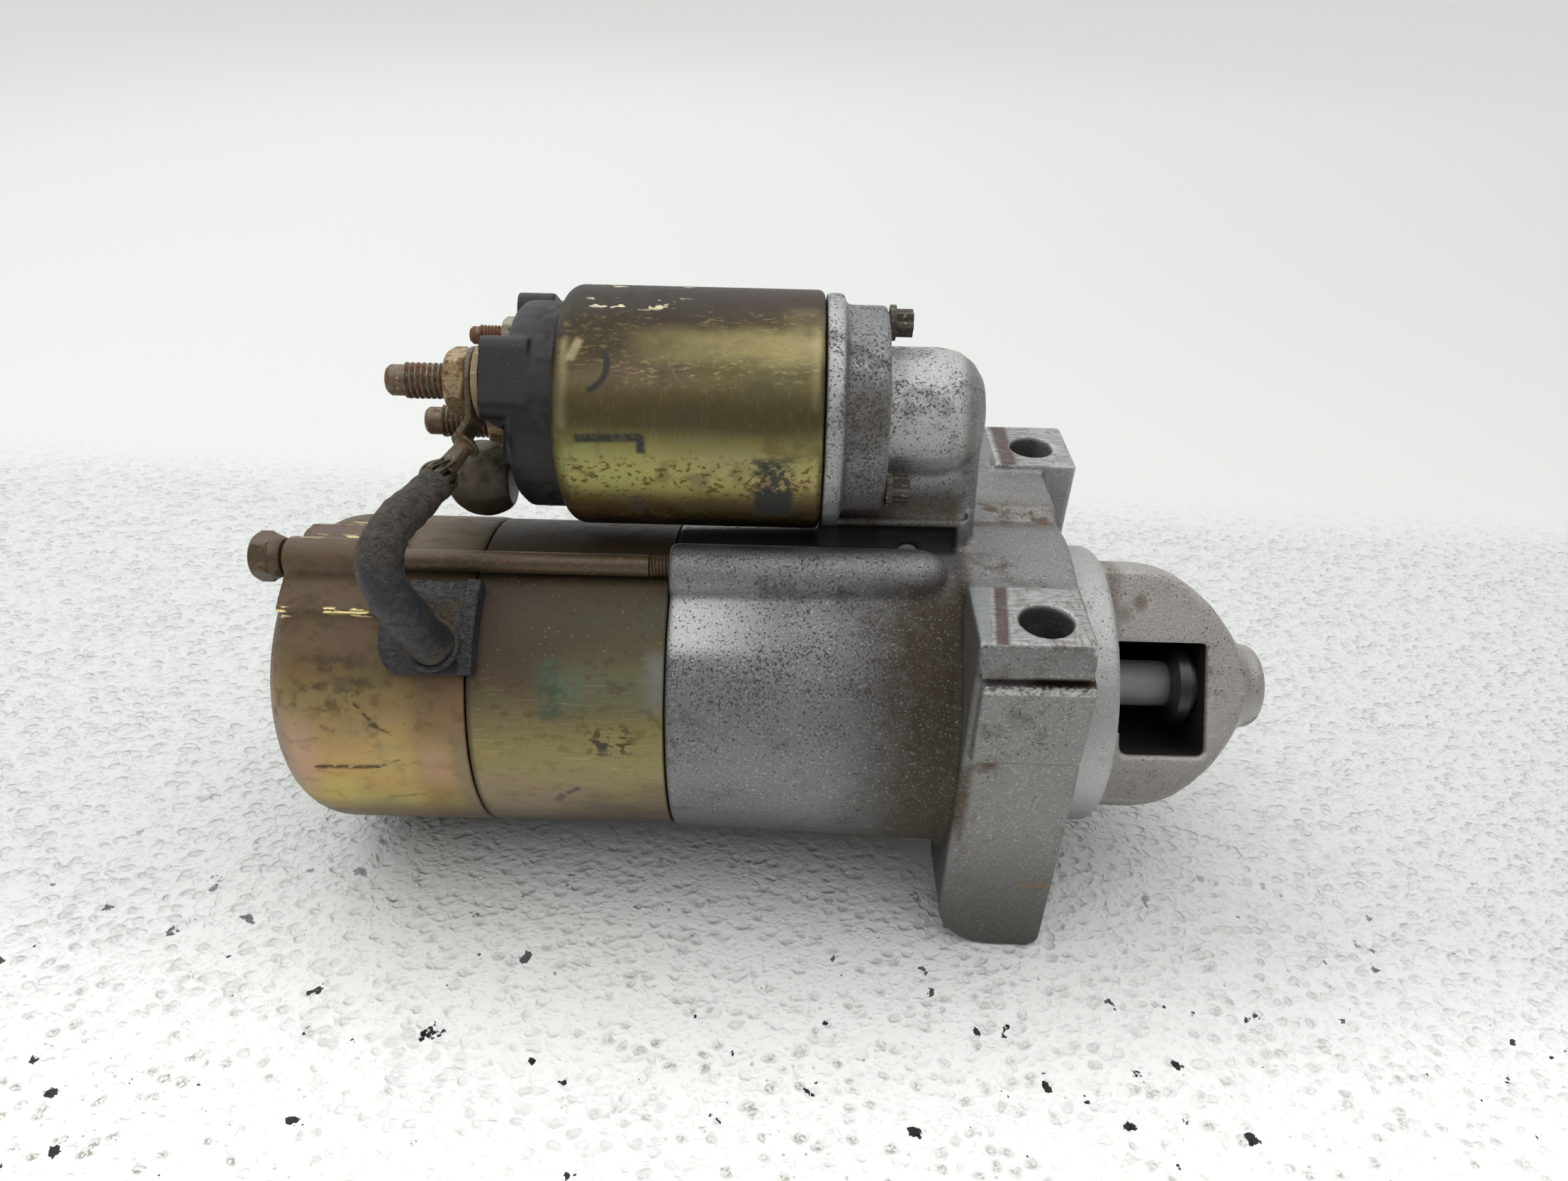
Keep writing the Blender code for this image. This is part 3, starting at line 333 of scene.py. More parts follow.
def plated_base(paint, shift):
    """Slow shifts of clean yellow zinc plate between gold, green and pink, as factors round 1."""
    drift = paint.noise(24, 2, shift, (1.6, 1, 1)) + (paint.noise(6, 3, shift + 3, (2, 1, 1)) - 0.5) * 0.3
    return paint.ramp(drift, (
        (0.28, (0.92, 1.06, 0.95)), (0.42, (1.02, 1.0, 0.84)), (0.52, WHITE), (0.62, (1.07, 0.95, 1.10)),
        (0.75, (0.93, 1.02, 1.05))))


def plate_by_height(paint, angle, shift, stops):
    """Zinc plate whose colour runs from 60 degrees below the front line to 120 degrees above it. The stops
    hold painted light too: the bright band near the front line is a painted reflection of the white floor,
    and the dark low end is painted shade.
    """
    return paint.times(paint.ramp((angle + 60.0) / 180.0, stops), plated_base(paint, shift))


def cover_plate(paint, angle, wander):
    """The cover's plate: pink and gold along its widest line, where the height ramp also paints the white
    floor's reflection, and brown above it, with painted shade on its lower side.
    """
    x = paint.x
    plate = plate_by_height(paint, angle + wander, 2.0, (
        (0.06, (0.20, 0.155, 0.105)), (0.16, (0.30, 0.225, 0.125)), (0.24, (0.42, 0.32, 0.125)),
        (0.32, (0.46, 0.308, 0.129)), (0.38, (0.46, 0.310, 0.146)), (0.44, (0.36, 0.255, 0.130)),
        (0.52, (0.235, 0.165, 0.088)), (0.62, (0.175, 0.120, 0.068)), (0.78, (0.15, 0.108, 0.068)),
        (0.90, (0.20, 0.160, 0.120))))
    plate = paint.tint(plate, (0.72, 0.70, 0.66), paint.step(angle, 20, 42))
    plate = paint.tint(plate, (0.72, 0.70, 0.68), paint.step(x, 32, 38))
    pink = paint.most(paint.band(angle, -10, 20, 8) * paint.band(x, 0, 13, 3),
                      paint.band(angle, -6, 12, 6) * paint.band(x, 36, 43, 2.5) * 0.8)
    plate = paint.mix(plate, (0.47, 0.295, 0.240), pink * 0.60)
    gold = paint.band(angle, -18, -4, 5) * paint.band(x, 12, 20, 3)
    plate = paint.mix(plate, (0.52, 0.40, 0.115), gold * 0.7)
    grey = paint.band(angle, -40, 14, 8) * paint.step(x, 42, 45.5)
    plate = paint.mix(plate, (0.19, 0.175, 0.13), grey * 0.6)
    # Painted shade: the cover is darkened on its lower side.
    plate = paint.tint(plate, (0.62, 0.60, 0.585), paint.step(angle, -14, -32))
    pale = paint.step(x, 9, 2.5) * paint.band(angle, -60, 24, 8)
    return paint.mix(plate, (0.21, 0.17, 0.125), pale * 0.75)


def cover_material():
    paint = Paint("cover_plate")
    x = paint.x
    angle = paint.around(SHAFT)[0]
    v = angle * COVER_ARC
    wander = (paint.noise(11, 4, 5, (1.5, 1, 1)) - 0.5) * 30.0
    plate = cover_plate(paint, angle, wander)
    dirt = paint.flecks((0.50, 0.66), 3.2, 5, 21, (1.3, 1, 1))
    dirt = dirt * paint.clamp(0.25 + paint.step(angle, 0, 40) * 0.6)
    colour = paint.mix(plate, (0.095, 0.060, 0.032), dirt * 0.8)
    soot = paint.band(x, 10, 27, 5) * paint.band(angle, 22, 42, 7) * paint.flecks((0.46, 0.60), 4.2, 5, 61)
    colour = paint.mix(colour, (0.070, 0.044, 0.024), soot * 0.75)
    speck = paint.flecks((0.66, 0.72), 0.9, 4, 4)
    scuff = paint.patches(x, v, (
        ((19.5, 0.8), (7.5, 0.55), 1.5, 0.5, 1.0), ((29.5, 2.2), (2.6, 0.3), 22, 0.3, 0.7),
        ((25.5, 14.0), (4.0, 0.40), -48, 0.4, 1.0), ((28.5, 11.0), (2.8, 0.30), -24, 0.4, 1.0),
        ((31.0, -9.0), (4.5, 0.35), 12, 0.4, 0.5)))
    scuff = scuff * paint.flecks((0.34, 0.50), 1.3, 3, 14, (2, 1, 1))
    colour = paint.mix(colour, (0.055, 0.034, 0.022), speck * 0.6 + scuff * 0.85)
    ledge = paint.band(angle, 54.6, 56.6, 0.5) * paint.band(x, 4, 29, 1.0)
    flakes = paint.band(angle, 78, 86, 2) * paint.band(x, 3, 20, 3) * 0.9
    worn = paint.clamp(ledge + flakes + paint.step(paint.edge, 0.55, 0.62) * paint.step(angle, 40, 52) * 0.8)
    worn = worn * paint.flecks((0.52, 0.58), 1.6, 4, 31, (3, 1, 1))
    colour = paint.mix(colour, (0.90, 0.74, 0.36), worn)
    bare = paint.clamp(paint.step(angle + wander, 55, -5) * 0.55 + worn - dirt * 0.3)
    rough = paint.clamp(0.52 - bare * 0.12 + dirt * 0.2 + scuff * 0.2 - worn * 0.2)
    heights = ((paint.noise(0.7, 4, 2), 0.07), (paint.noise(9, 3), 0.35))
    return paint.finish(colour, rough, bare, heights, level=0.3)


def frame_plate(paint, angle, v, wander):
    """The frame's plate: clean and golden low down, where the height ramp also paints the white floor's
    reflection, brown above, with a green patch.
    """
    x = paint.x
    clean = paint.step(x, 58, 84) * 12.0
    plate = plate_by_height(paint, angle + wander - clean, 9.0, (
        (0.06, (0.050, 0.038, 0.028)), (0.16, (0.14, 0.108, 0.075)), (0.25, (0.27, 0.220, 0.130)),
        (0.33, (0.262, 0.217, 0.106)), (0.40, (0.246, 0.201, 0.086)), (0.46, (0.20, 0.165, 0.078)),
        (0.52, (0.130, 0.108, 0.060)), (0.60, (0.100, 0.077, 0.047)), (0.72, (0.085, 0.064, 0.042)),
        (0.82, (0.075, 0.056, 0.040))))
    plate = paint.tint(plate, (0.66, 0.64, 0.60), paint.step(angle, 18, 40))
    green = paint.band(angle, 22, 40, 6) * paint.band(x, 64, 88, 4)
    plate = paint.mix(plate, (0.130, 0.138, 0.082), green * 0.7)
    moss = paint.patch(x, v, (69.5, 20.5), (3.2, 3.6), 0, 1.5) * paint.flecks((0.38, 0.55), 2.5, 4)
    return paint.mix(plate, (0.095, 0.150, 0.100), moss * 0.75)


def frame_material():
    paint = Paint("frame_plate")
    x = paint.x
    angle = paint.around(SHAFT)[0]
    v = angle * FRAME_ARC
    wander = (paint.noise(8, 4, 15, (1.6, 1, 1)) - 0.5) * 24.0
    plate = frame_plate(paint, angle, v, wander)
    scratches = paint.most(paint.flecks((0.55, 0.66), 0.5, 3, 6, (14, 1, 1), 0.6),
                           paint.flecks((0.60, 0.68), 0.45, 2, 12, (1, 5, 5), 1.5))
    scratches = scratches * paint.band(angle, -40, 34, 8)
    colour = paint.mix(plate, (0.42, 0.36, 0.19), scratches * 0.30)
    dirt = paint.flecks((0.52, 0.66), 2.4, 5, 24, (1.4, 1, 1))
    dirt = dirt * paint.clamp(0.25 + paint.step(angle, 4, 40) * 0.55)
    colour = paint.mix(colour, (0.075, 0.050, 0.030), dirt * 0.75)
    pale = paint.flecks((0.655, 0.70), 0.8, 4, 74) * paint.step(angle, 30, 42)
    colour = paint.mix(colour, (0.30, 0.23, 0.14), pale * 0.6)
    teal = paint.patch(x, v, (65.5, 21.0), (2.2, 7.0), 0, 0.8) * paint.flecks((0.36, 0.56), 1.5, 4, 34)
    colour = paint.mix(colour, (0.050, 0.105, 0.075), teal * 0.55)
    rim = paint.step(x, 84, 89.5) * paint.band(angle, 26, 44, 5)
    colour = paint.mix(colour, (0.20, 0.205, 0.20), rim * 0.7)
    spots = paint.patch(x, v, (79.0, 9.3), (5.0, 3.6), 8, 1.6)
    spots = spots * paint.flecks((0.50, 0.57), 1.3, 4, 44, (1.6, 1, 1))
    speck = paint.flecks((0.68, 0.74), 0.9, 4, 54)
    colour = paint.mix(colour, (0.060, 0.032, 0.016), spots * 0.85 + speck * 0.6)
    dots = paint.patches(x, v, (
        ((77.2, 7.6), (1.0, 1.1), 0, 0.5, 1.0), ((69.6, -5.6), (2.0, 0.6), 35, 0.4, 0.85),
        ((66.3, -8.4), (1.6, 0.9), 60, 0.5, 0.75), ((74.0, -13.0), (2.6, 0.6), 15, 0.6, 0.45)))
    colour = paint.mix(colour, (0.045, 0.045, 0.045), dots * 0.85)
    colour = paint.mix(colour, (0.045, 0.033, 0.024), paint.step(x, 49.0, 47.6) * 0.75)
    shade = paint.patch(x, v, (70.0, 63.0), (40.0, 2.4), 0, 2.0)
    colour = paint.mix(colour, (0.035, 0.026, 0.020), shade * 0.7)
    clear = (1.0 - dots) * (1.0 - spots)
    metal = paint.clamp((paint.step(angle + wander, 48, 4) * 0.6 + scratches * 0.3) * clear)
    rough = paint.clamp(0.50 - metal * 0.12 + dirt * 0.15 + spots * 0.2)
    return paint.finish(colour, rough, metal, ((paint.noise(0.6, 4, 2), 0.06), (scratches, 0.015)), level=0.3)


def can_marks(paint, v):
    """Plain dark strokes and a square smudge, with rough edges."""
    x = paint.x
    rough_edge = paint.flecks((0.40, 0.56), 1.6, 5, 49, warp=0.4)
    square = paint.patch(x, v, (113.8, -7.0), (4.3, 8.4), 0, 1.0)
    square = square * paint.clamp(paint.step(v, -6.0, -8.5) + rough_edge * 0.9)
    line = paint.patches(x, v, (
        ((79.5, 5.2), (7.0, 0.95), 2, 0.5, 1.0), ((86.2, 4.0), (0.95, 2.0), 0, 0.5, 1.0)))
    return paint.most(
        square,
        line * paint.clamp(0.75 + rough_edge * 0.3),
        paint.arc(x, v, (73.6, 20.2), 5.7, 0.65, -72, 28, 0.35) * 0.95,
        paint.patch(x, v, (75.5, -3.2), (0.7, 0.6), 0, 0.5) * 0.7,
        paint.patch(x, v, (85.0, -13.0), (2.2, 3.6), 24, 1.2) * rough_edge * 0.8)


def can_material():
    paint = Paint("can_plate")
    x = paint.x
    angle = paint.around(SOLENOID)[0]
    v = angle * CAN_ARC
    wander = (paint.noise(7, 4, 3, (1.6, 1, 1)) - 0.5) * 9.0
    # The height ramp paints a reflection of the white floor as a bright band just below the front line, and
    # painted shade towards the bottom.
    plate = plate_by_height(paint, angle + wander, 13.0, (
        (0.10, (0.042, 0.028, 0.015)), (0.20, (0.17, 0.125, 0.055)), (0.255, (0.30, 0.255, 0.105)),
        (0.30, (0.325, 0.295, 0.117)), (0.345, (0.305, 0.283, 0.126)), (0.385, (0.23, 0.21, 0.090)),
        (0.43, (0.125, 0.105, 0.056)), (0.53, (0.132, 0.105, 0.058)), (0.66, (0.125, 0.098, 0.062)),
        (0.78, (0.080, 0.062, 0.045))))
    # Painted highlight: a bright gold band on the brushed plate high up on the can, away from its rear end.
    gold = paint.band(angle + wander, 46, 62, 5) * paint.step(x, 78, 92)
    gold = gold * paint.clamp(0.35 + paint.noise(5, 4, 23, (1.6, 1, 1)) * 1.1)
    colour = paint.mix(plate, (0.52, 0.44, 0.20), gold * 0.70)
    front = paint.step(x, 112, 120) * paint.band(angle, 50, 76, 5)
    colour = paint.mix(colour, (0.40, 0.33, 0.19), front * 0.45)
    streaks = paint.flecks((0.52, 0.66), 0.42, 3, 7, (1, 6, 6), 0.8) * paint.band(angle, -12, 40, 8)
    diagonal = paint.flecks((0.53, 0.64), 0.55, 3, 27, (3.6, 2, 1), 0.7)
    diagonal = diagonal * paint.flecks((0.38, 0.52), 12, 2, 6) * paint.band(angle, 36, 74, 6)
    colour = paint.mix(colour, (0.50, 0.41, 0.20), diagonal * 0.42 + streaks * 0.10)
    brown = paint.flecks((0.50, 0.66), 4.5, 5, 13, (1.2, 1, 1)) * paint.clamp(0.55 - gold * 0.3)
    colour = paint.mix(colour, (0.085, 0.058, 0.034), brown * 0.75)
    low = paint.band(angle, -40, 2, 6) * paint.flecks((0.545, 0.60), 1.1, 6, 33, (1.4, 1, 1))
    colour = paint.mix(colour, (0.13, 0.065, 0.020), low * 0.75)
    # Painted shade: the top of the can is darkened, most towards its rear end.
    top_shade = paint.clamp(0.34 + paint.step(x, 84, 122) * 0.30 + paint.step(angle, 68, 84) * 0.05)
    colour = paint.tint(colour, paint.shade(top_shade), paint.step(angle + wander * 0.5, 34, 50))
    # Painted highlights: bright strips along both ends of the can.
    edge = paint.clamp(paint.patch(x, v, (69.9, 16.5), (0.8, 9.5), 0, 1.2)
                       + paint.patch(x, v, (72.4, 23.5), (0.9, 2.6), -20, 0.6)
                       + paint.patch(x, v, (122.3, 21.0), (0.9, 9.0), 0, 1.2) * 0.5)
    edge = edge * paint.clamp(0.55 + paint.noise(1.3, 3, 81) * 0.8)
    colour = paint.mix(colour, (0.52, 0.44, 0.24), edge * 0.40)
    chip = paint.band(angle, 74, 84, 2) * paint.band(x, 74, 94, 3)
    chip = chip * paint.flecks((0.60, 0.64), 1.9, 2, 41, (2, 1, 1))
    colour = paint.mix(colour, (0.74, 0.68, 0.46), chip * 0.9)
    smudge = can_marks(paint, v)
    colour = paint.mix(colour, (0.022, 0.025, 0.027), smudge * 0.92)
    colour = paint.mix(colour, (0.060, 0.034, 0.016), paint.flecks((0.68, 0.73), 0.8, 4, 64) * 0.7)
    metal = paint.clamp(0.80 - brown * 0.3 - smudge * 0.7 - paint.step(angle, 62, 84) * 0.45)
    rough = paint.clamp(0.33 + brown * 0.15 + low * 0.2 + smudge * 0.15 + paint.step(angle, 60, 84) * 0.15
                        + paint.noise(3, 4, 71) * 0.10)
    heights = ((paint.noise(0.5, 3, 2), 0.02), (streaks, 0.012), (diagonal, 0.012))
    return paint.finish(colour, rough, metal, heights, level=0.3)


def casting_zones(paint):
    """Masks for the parts of the casting, with the values that several of its layers share."""
    x, y, z = paint.x, paint.y, paint.z
    zone = Masks()
    zone.angle, zone.radius = paint.around(SHAFT)
    zone.solenoid_angle, solenoid_radius = paint.around(SOLENOID)
    zone.up = paint.facing[2]
    zone.grain = paint.noise(0.55, 5, 1, rough=0.70)
    zone.clouds = paint.noise(9, 4, 12, (1.3, 1, 1))
    zone.near = paint.step(y, 0, -10)
    zone.nose = paint.step(x, 190, 195)
    zone.column = paint.step(x, 154, 157) * (1.0 - zone.nose)
    zone.dome = paint.step(x, 137.5, 139) * paint.step(z, 52, 58) * (1.0 - zone.column)
    # The barrel's upper shoulder, where a highlight is painted.
    zone.ridge = paint.band(zone.angle, 45, 64, 4) * paint.step(x, 118, 94) * paint.step(z, 46, 40)
    zone.by_ear = paint.step(solenoid_radius, 31.5, 30.0)
    zone.lug = (paint.step(z, LUG_TOP - 1.0, LUG_TOP - 0.5) * paint.step(z, LUG_TOP + 0.8, LUG_TOP + 0.4)
                * paint.step(x, 155, 155.6) * paint.step(zone.up, 0.80, 0.95))
    return zone


def casting_base(paint, zone):
    """Clean cast metal: bluish on the barrel, warmer on the columns and the nose, with painted light: a
    highlight on the barrel's upper shoulder, glints in the grain, and shade on the lower side.
    """
    base = paint.mix((0.205, 0.213, 0.220), (0.252, 0.261, 0.267), paint.noise(20, 3, 7))
    base = paint.mix(base, (0.255, 0.247, 0.236), zone.column * 0.8)
    base = paint.mix(base, (0.455, 0.428, 0.41), zone.nose * 0.9)
    pilot = paint.band(paint.x, 183.5, 195, 1) * (1.0 - zone.nose * 0.5)
    rim = paint.band(paint.x, 124.0, 128.6, 0.6) * zone.by_ear
    # Lighter clean metal on the dome, the pilot and the rim, and a painted highlight on the barrel's upper
    # shoulder.
    clean = zone.dome * 0.9 + pilot * 0.55 + zone.ridge * 0.85 + rim * 0.5
    base = paint.mix(base, (0.62, 0.625, 0.63), clean)
    # Painted glints: the brightest grains are lightened.
    base = paint.mix(base, (0.78, 0.78, 0.78), paint.step(zone.grain, 0.54, 0.68) * 0.42)
    base = paint.mix(base, (0.105, 0.100, 0.095), paint.step(zone.grain, 0.46, 0.33) * 0.25)
    # Painted shade: the metal is darkened from the front line down to the bottom.
    return paint.mix(paint.times(base, (0.45, 0.43, 0.41)), base, paint.step(zone.angle, -52, -4))


def casting_stain(paint, zone):
    """Brown stain under the dome, on the ear, on the saddle, and in blots everywhere."""
    x, y, z = paint.x, paint.y, paint.z
    under = paint.band(z, 45.0, 52.0, 1.5) * paint.step(x, 158, 155) * paint.band(y, -2, 12, 2)
    dome_top = paint.step(z, 70, 80) * zone.dome
    around_ear = paint.most(paint.band(zone.solenoid_angle, 8, 40, 10),
                            paint.step(zone.solenoid_angle, -20, -32) * 0.7)
    ear = paint.band(x, 129.5, 137.8, 1.0) * around_ear * zone.by_ear
    saddle = (paint.step(zone.up, 0.85, 0.97) * paint.band(y, 10, 18, 3) * paint.band(z, 37.5, 43.5, 0.8)
              * paint.band(x, 156, 184, 2))
    blot = paint.flecks((0.56, 0.74), 15, 4, 27) * (0.20 - zone.nose * 0.12 - zone.column * 0.08)
    stain = paint.clamp(under * 0.9 + dome_top * 0.15 + ear * 0.65 + saddle * 0.35 + blot)
    return paint.clamp(stain * (0.35 + paint.noise(1.9, 6, 57, rough=0.65) * 1.3))


def casting_dirt(paint, zone, colour):
    """Stain, haze at the barrel's front end, a thin film, and specks."""
    x, y = paint.x, paint.y
    density = (zone.clouds * 0.22 - zone.column * 0.050 - paint.step(zone.angle, 26, -2) * 0.040
               - zone.ridge * 0.02 + paint.band(zone.angle, 28, 50, 8) * paint.step(x, 152, 128) * 0.045
               + zone.dome * paint.step(x, 148, 139) * 0.02
               + paint.band(x, 128, 138, 1.5) * zone.by_ear * 0.030 - zone.nose * 0.030)
    zone.specks = paint.step(paint.noise(0.62, 3, 17, rough=0.62) + density, 0.690, 0.735)
    zone.film = paint.step(zone.clouds + paint.noise(2.2, 5, 37) * 0.5 + density, 0.90, 1.10)
    end = paint.step(x, 122, 150) * paint.step(x, 159.5, 157) * paint.step(zone.radius, 46, 42)
    corner = end * paint.step(y, 4, -8) * paint.clamp(0.50 + paint.band(zone.angle, -40, 70, 14) * 0.5)
    zone.haze = paint.clamp(corner * (0.50 + paint.noise(4.5, 5, 87, rough=0.65) * 1.1))
    zone.stain = casting_stain(paint, zone)
    colour = paint.mix(colour, (0.095, 0.072, 0.048), zone.stain * 0.85)
    # The painted glints of the grain show through the haze.
    painted_glints = paint.step(zone.grain, 0.56, 0.62)
    colour = paint.mix(colour, (0.065, 0.050, 0.036), zone.haze * (1.0 - painted_glints * 0.45))
    colour = paint.mix(colour, (0.070, 0.054, 0.040), zone.film * 0.45)
    return paint.mix(colour, (0.052, 0.040, 0.030), zone.specks * 0.80)


def casting_lugs(paint, zone, colour):
    """The machined lug tops: fine tool lines, a dark stripe on each, and brown smears."""
    zone.lines = paint.noise(0.40, 4, 47, (7, 1.4, 1), 0.5)
    bright = paint.mix((0.25, 0.245, 0.235), (0.52, 0.52, 0.51), paint.step(zone.lines, 0.32, 0.66))
    colour = paint.mix(colour, bright, zone.lug * 0.85)
    slant = paint.x + (paint.y + 43.0) * -0.12
    stripe_near = paint.band(slant, 158.9, 161.6, 0.5) * zone.near
    stripe_far = paint.band(paint.x, 171.5, 175.6, 0.8) * (1.0 - zone.near)
    uneven = paint.clamp(0.55 + paint.noise(1.2, 4, 67) * 0.9)
    stripe = paint.clamp((stripe_near + stripe_far) * zone.lug * uneven)
    colour = paint.mix(colour, (0.085, 0.052, 0.046), stripe * 0.85)
    rear_part = paint.step(slant, 158.6, 157.8) * zone.near * zone.lug
    colour = paint.mix(colour, (0.27, 0.29, 0.30), rear_part * 0.8)
    smears = paint.flecks((0.58, 0.66), 0.9, 3, 77, (1.0, 5, 1), 0.5) * zone.lug
    return paint.mix(colour, (0.17, 0.12, 0.085), smears * 0.5)


def casting_block(paint, zone, colour):
    """The near lug's block: a dark groove painted as shade with some rust, worn edges, a faint line, and grey
    marks.
    """
    x, y, z = paint.x, paint.y, paint.z
    # Painted shade in the groove, with rusty brown in it.
    groove = paint.band(z, 34.6, 37.2, 0.5) * paint.band(y, -46, -42.3, 0.5) * paint.band(x, 156, 181, 1)
    groove = groove * paint.clamp(0.55 + paint.step(x, 164, 174))
    colour = paint.mix(colour, (0.040, 0.025, 0.016), groove)
    edge = paint.band(z, 33.2, 35.0, 0.4) * paint.step(y, -44.2, -45.0) * paint.band(x, 157, 181, 0.6)
    edge = edge * paint.flecks((0.42, 0.55), 0.9, 4)
    nick = paint.spot(x, z, (179.3, 42.6), 0.9, 0.5) * paint.step(y, -41, -42.5)
    zone.block_wear = edge * 0.8 + nick
    below = paint.band(z, 13.6, 14.3, 0.3) * paint.band(x, 159, 178, 1) * paint.step(y, -42, -43)
    return paint.mix(colour, (0.12, 0.11, 0.10), below * 0.6)


def casting_rust(paint, zone, colour):
    """Painted shade in the pocket by the pilot ring, rust spots on the nose, drips and edge rust on the near
    column, and one pale scrape.
    """
    x, y, z = paint.x, paint.y, paint.z
    # Painted shade: brown darkening in the pocket where the nose meets the pilot ring.
    pocket = paint.band(x, 194.0, 198.0, 1.6) * paint.step(z, 8, 22) * zone.nose
    colour = paint.mix(colour, (0.135, 0.100, 0.072), pocket * 0.5)
    spots = paint.most(paint.spot(x, z, (203.0, 24.0), 1.6, 0.8),
                       paint.spot(x, z, (199.4, 21.6), 1.6, 1.3) * 0.7) * zone.nose
    drip = paint.patch(x, z, (161.5, 12.0), (1.8, 2.2), 12, 1.2) * paint.step(y, -41, -42)
    edge = paint.patch(x, z, (157.8, -6.0), (0.9, 13.0), 3, 1.2) * paint.step(y, -30, -40)
    edge = edge * paint.flecks((0.48, 0.58), 2.4, 5)
    saddle = paint.band(y, 9, 16, 2) * paint.band(z, 38, 43, 1.5) * paint.band(x, 155, 181, 2)
    saddle = saddle * paint.flecks((0.47, 0.60), 2.6, 5, 97, (1.6, 1, 1))
    zone.rust = paint.clamp(spots * 0.6 + drip * 0.75 + edge * 0.8 + saddle * 0.75)
    colour = paint.mix(colour, (0.110, 0.058, 0.026), zone.rust)
    dash = paint.patch(x, z, (177.3, -27.4), (3.6, 0.45), 0, 0.35) * paint.step(y, -41, -42)
    colour = paint.mix(colour, (0.26, 0.155, 0.06), dash * paint.flecks((0.40, 0.50), 0.8, 4) * 0.9)
    marks = paint.flecks((0.60, 0.68), 3.4, 5, 107) * zone.column * paint.step(y, -38, -42)
    colour = paint.mix(colour, (0.120, 0.115, 0.105), marks * 0.35)
    chip = paint.patch(y, z, (-8.6, -3.0), (1.0, 1.3), 20, 0.3) * paint.step(x, 232.5, 233.6)
    return paint.mix(colour, (0.040, 0.045, 0.045), chip)


def casting_material():
    paint = Paint("cast_aluminium")
    x, y, z = paint.x, paint.y, paint.z
    zone = casting_zones(paint)
    colour = casting_base(paint, zone)
    for layer in (casting_dirt, casting_lugs, casting_block, casting_rust):
        colour = layer(paint, zone, colour)
    worn = paint.clamp(paint.step(paint.edge, 0.54, 0.60) * (1.0 - zone.stain * 0.6) + zone.block_wear)
    worn = worn * paint.clamp(0.4 + paint.noise(1.4, 4, 117))
    colour = paint.mix(colour, (0.74, 0.74, 0.73), worn * 0.70)
    # Painted shade: very dark inside the nose window and in the recess under the ledge at the neck.
    flat = y * -math.cos(CLOCK) + z * math.sin(CLOCK)
    inside = paint.step(zone.radius, 24, 21) * paint.band(x, 184, 222, 1.0) * paint.step(flat, 12.3, 11.6)
    recess = (paint.step(zone.radius, 50, 47) * paint.band(y, -5.0, 8.0, 1.6) * paint.step(x, 156.5, 155.5)
              * paint.band(z, 30, 46.0, 0.8))
    painted_shade = paint.clamp(inside + recess * 0.92)
    colour = paint.mix(colour, (0.012, 0.011, 0.010), painted_shade)
    metal = paint.clamp(0.95 - zone.stain * 0.7 - zone.specks * 0.8 - zone.film * 0.4 - painted_shade
                        - zone.rust * 0.8 - zone.haze * 0.5)
    rough = paint.clamp(0.42 + zone.stain * 0.3 + zone.specks * 0.3 + painted_shade * 0.5 + zone.haze * 0.2
                        - worn * 0.1)
    heights = ((zone.grain * (1.0 - zone.lug * 0.85), 0.20), (zone.specks * -1.0, 0.06),
               (zone.lines * zone.lug, 0.03))
    return paint.finish(colour, rough, metal, heights, level=0.3)


def cap_material():
    paint = Paint("cap_plastic")
    dust = paint.step(paint.facing[2], 0.1, 0.95) * paint.noise(3, 4, 3)
    near_can = paint.step(paint.x, 58.5, 66) * paint.flecks((0.36, 0.66), 2.4, 5, 9)
    colour = paint.mix((0.010, 0.0105, 0.0135), (0.028, 0.029, 0.034), dust * 1.1)
    colour = paint.mix(colour, (0.060, 0.044, 0.028), near_can * 0.35)
    speck = paint.flecks((0.67, 0.72), 0.8, 3, 19)
    colour = paint.mix(colour, (0.16, 0.13, 0.09), speck * 0.5)
    rough = paint.clamp(0.40 + dust * 0.3 + near_can * 0.3)
    return paint.finish(colour, rough, 0.0, ((paint.noise(0.5, 3), 0.02),), level=0.4)


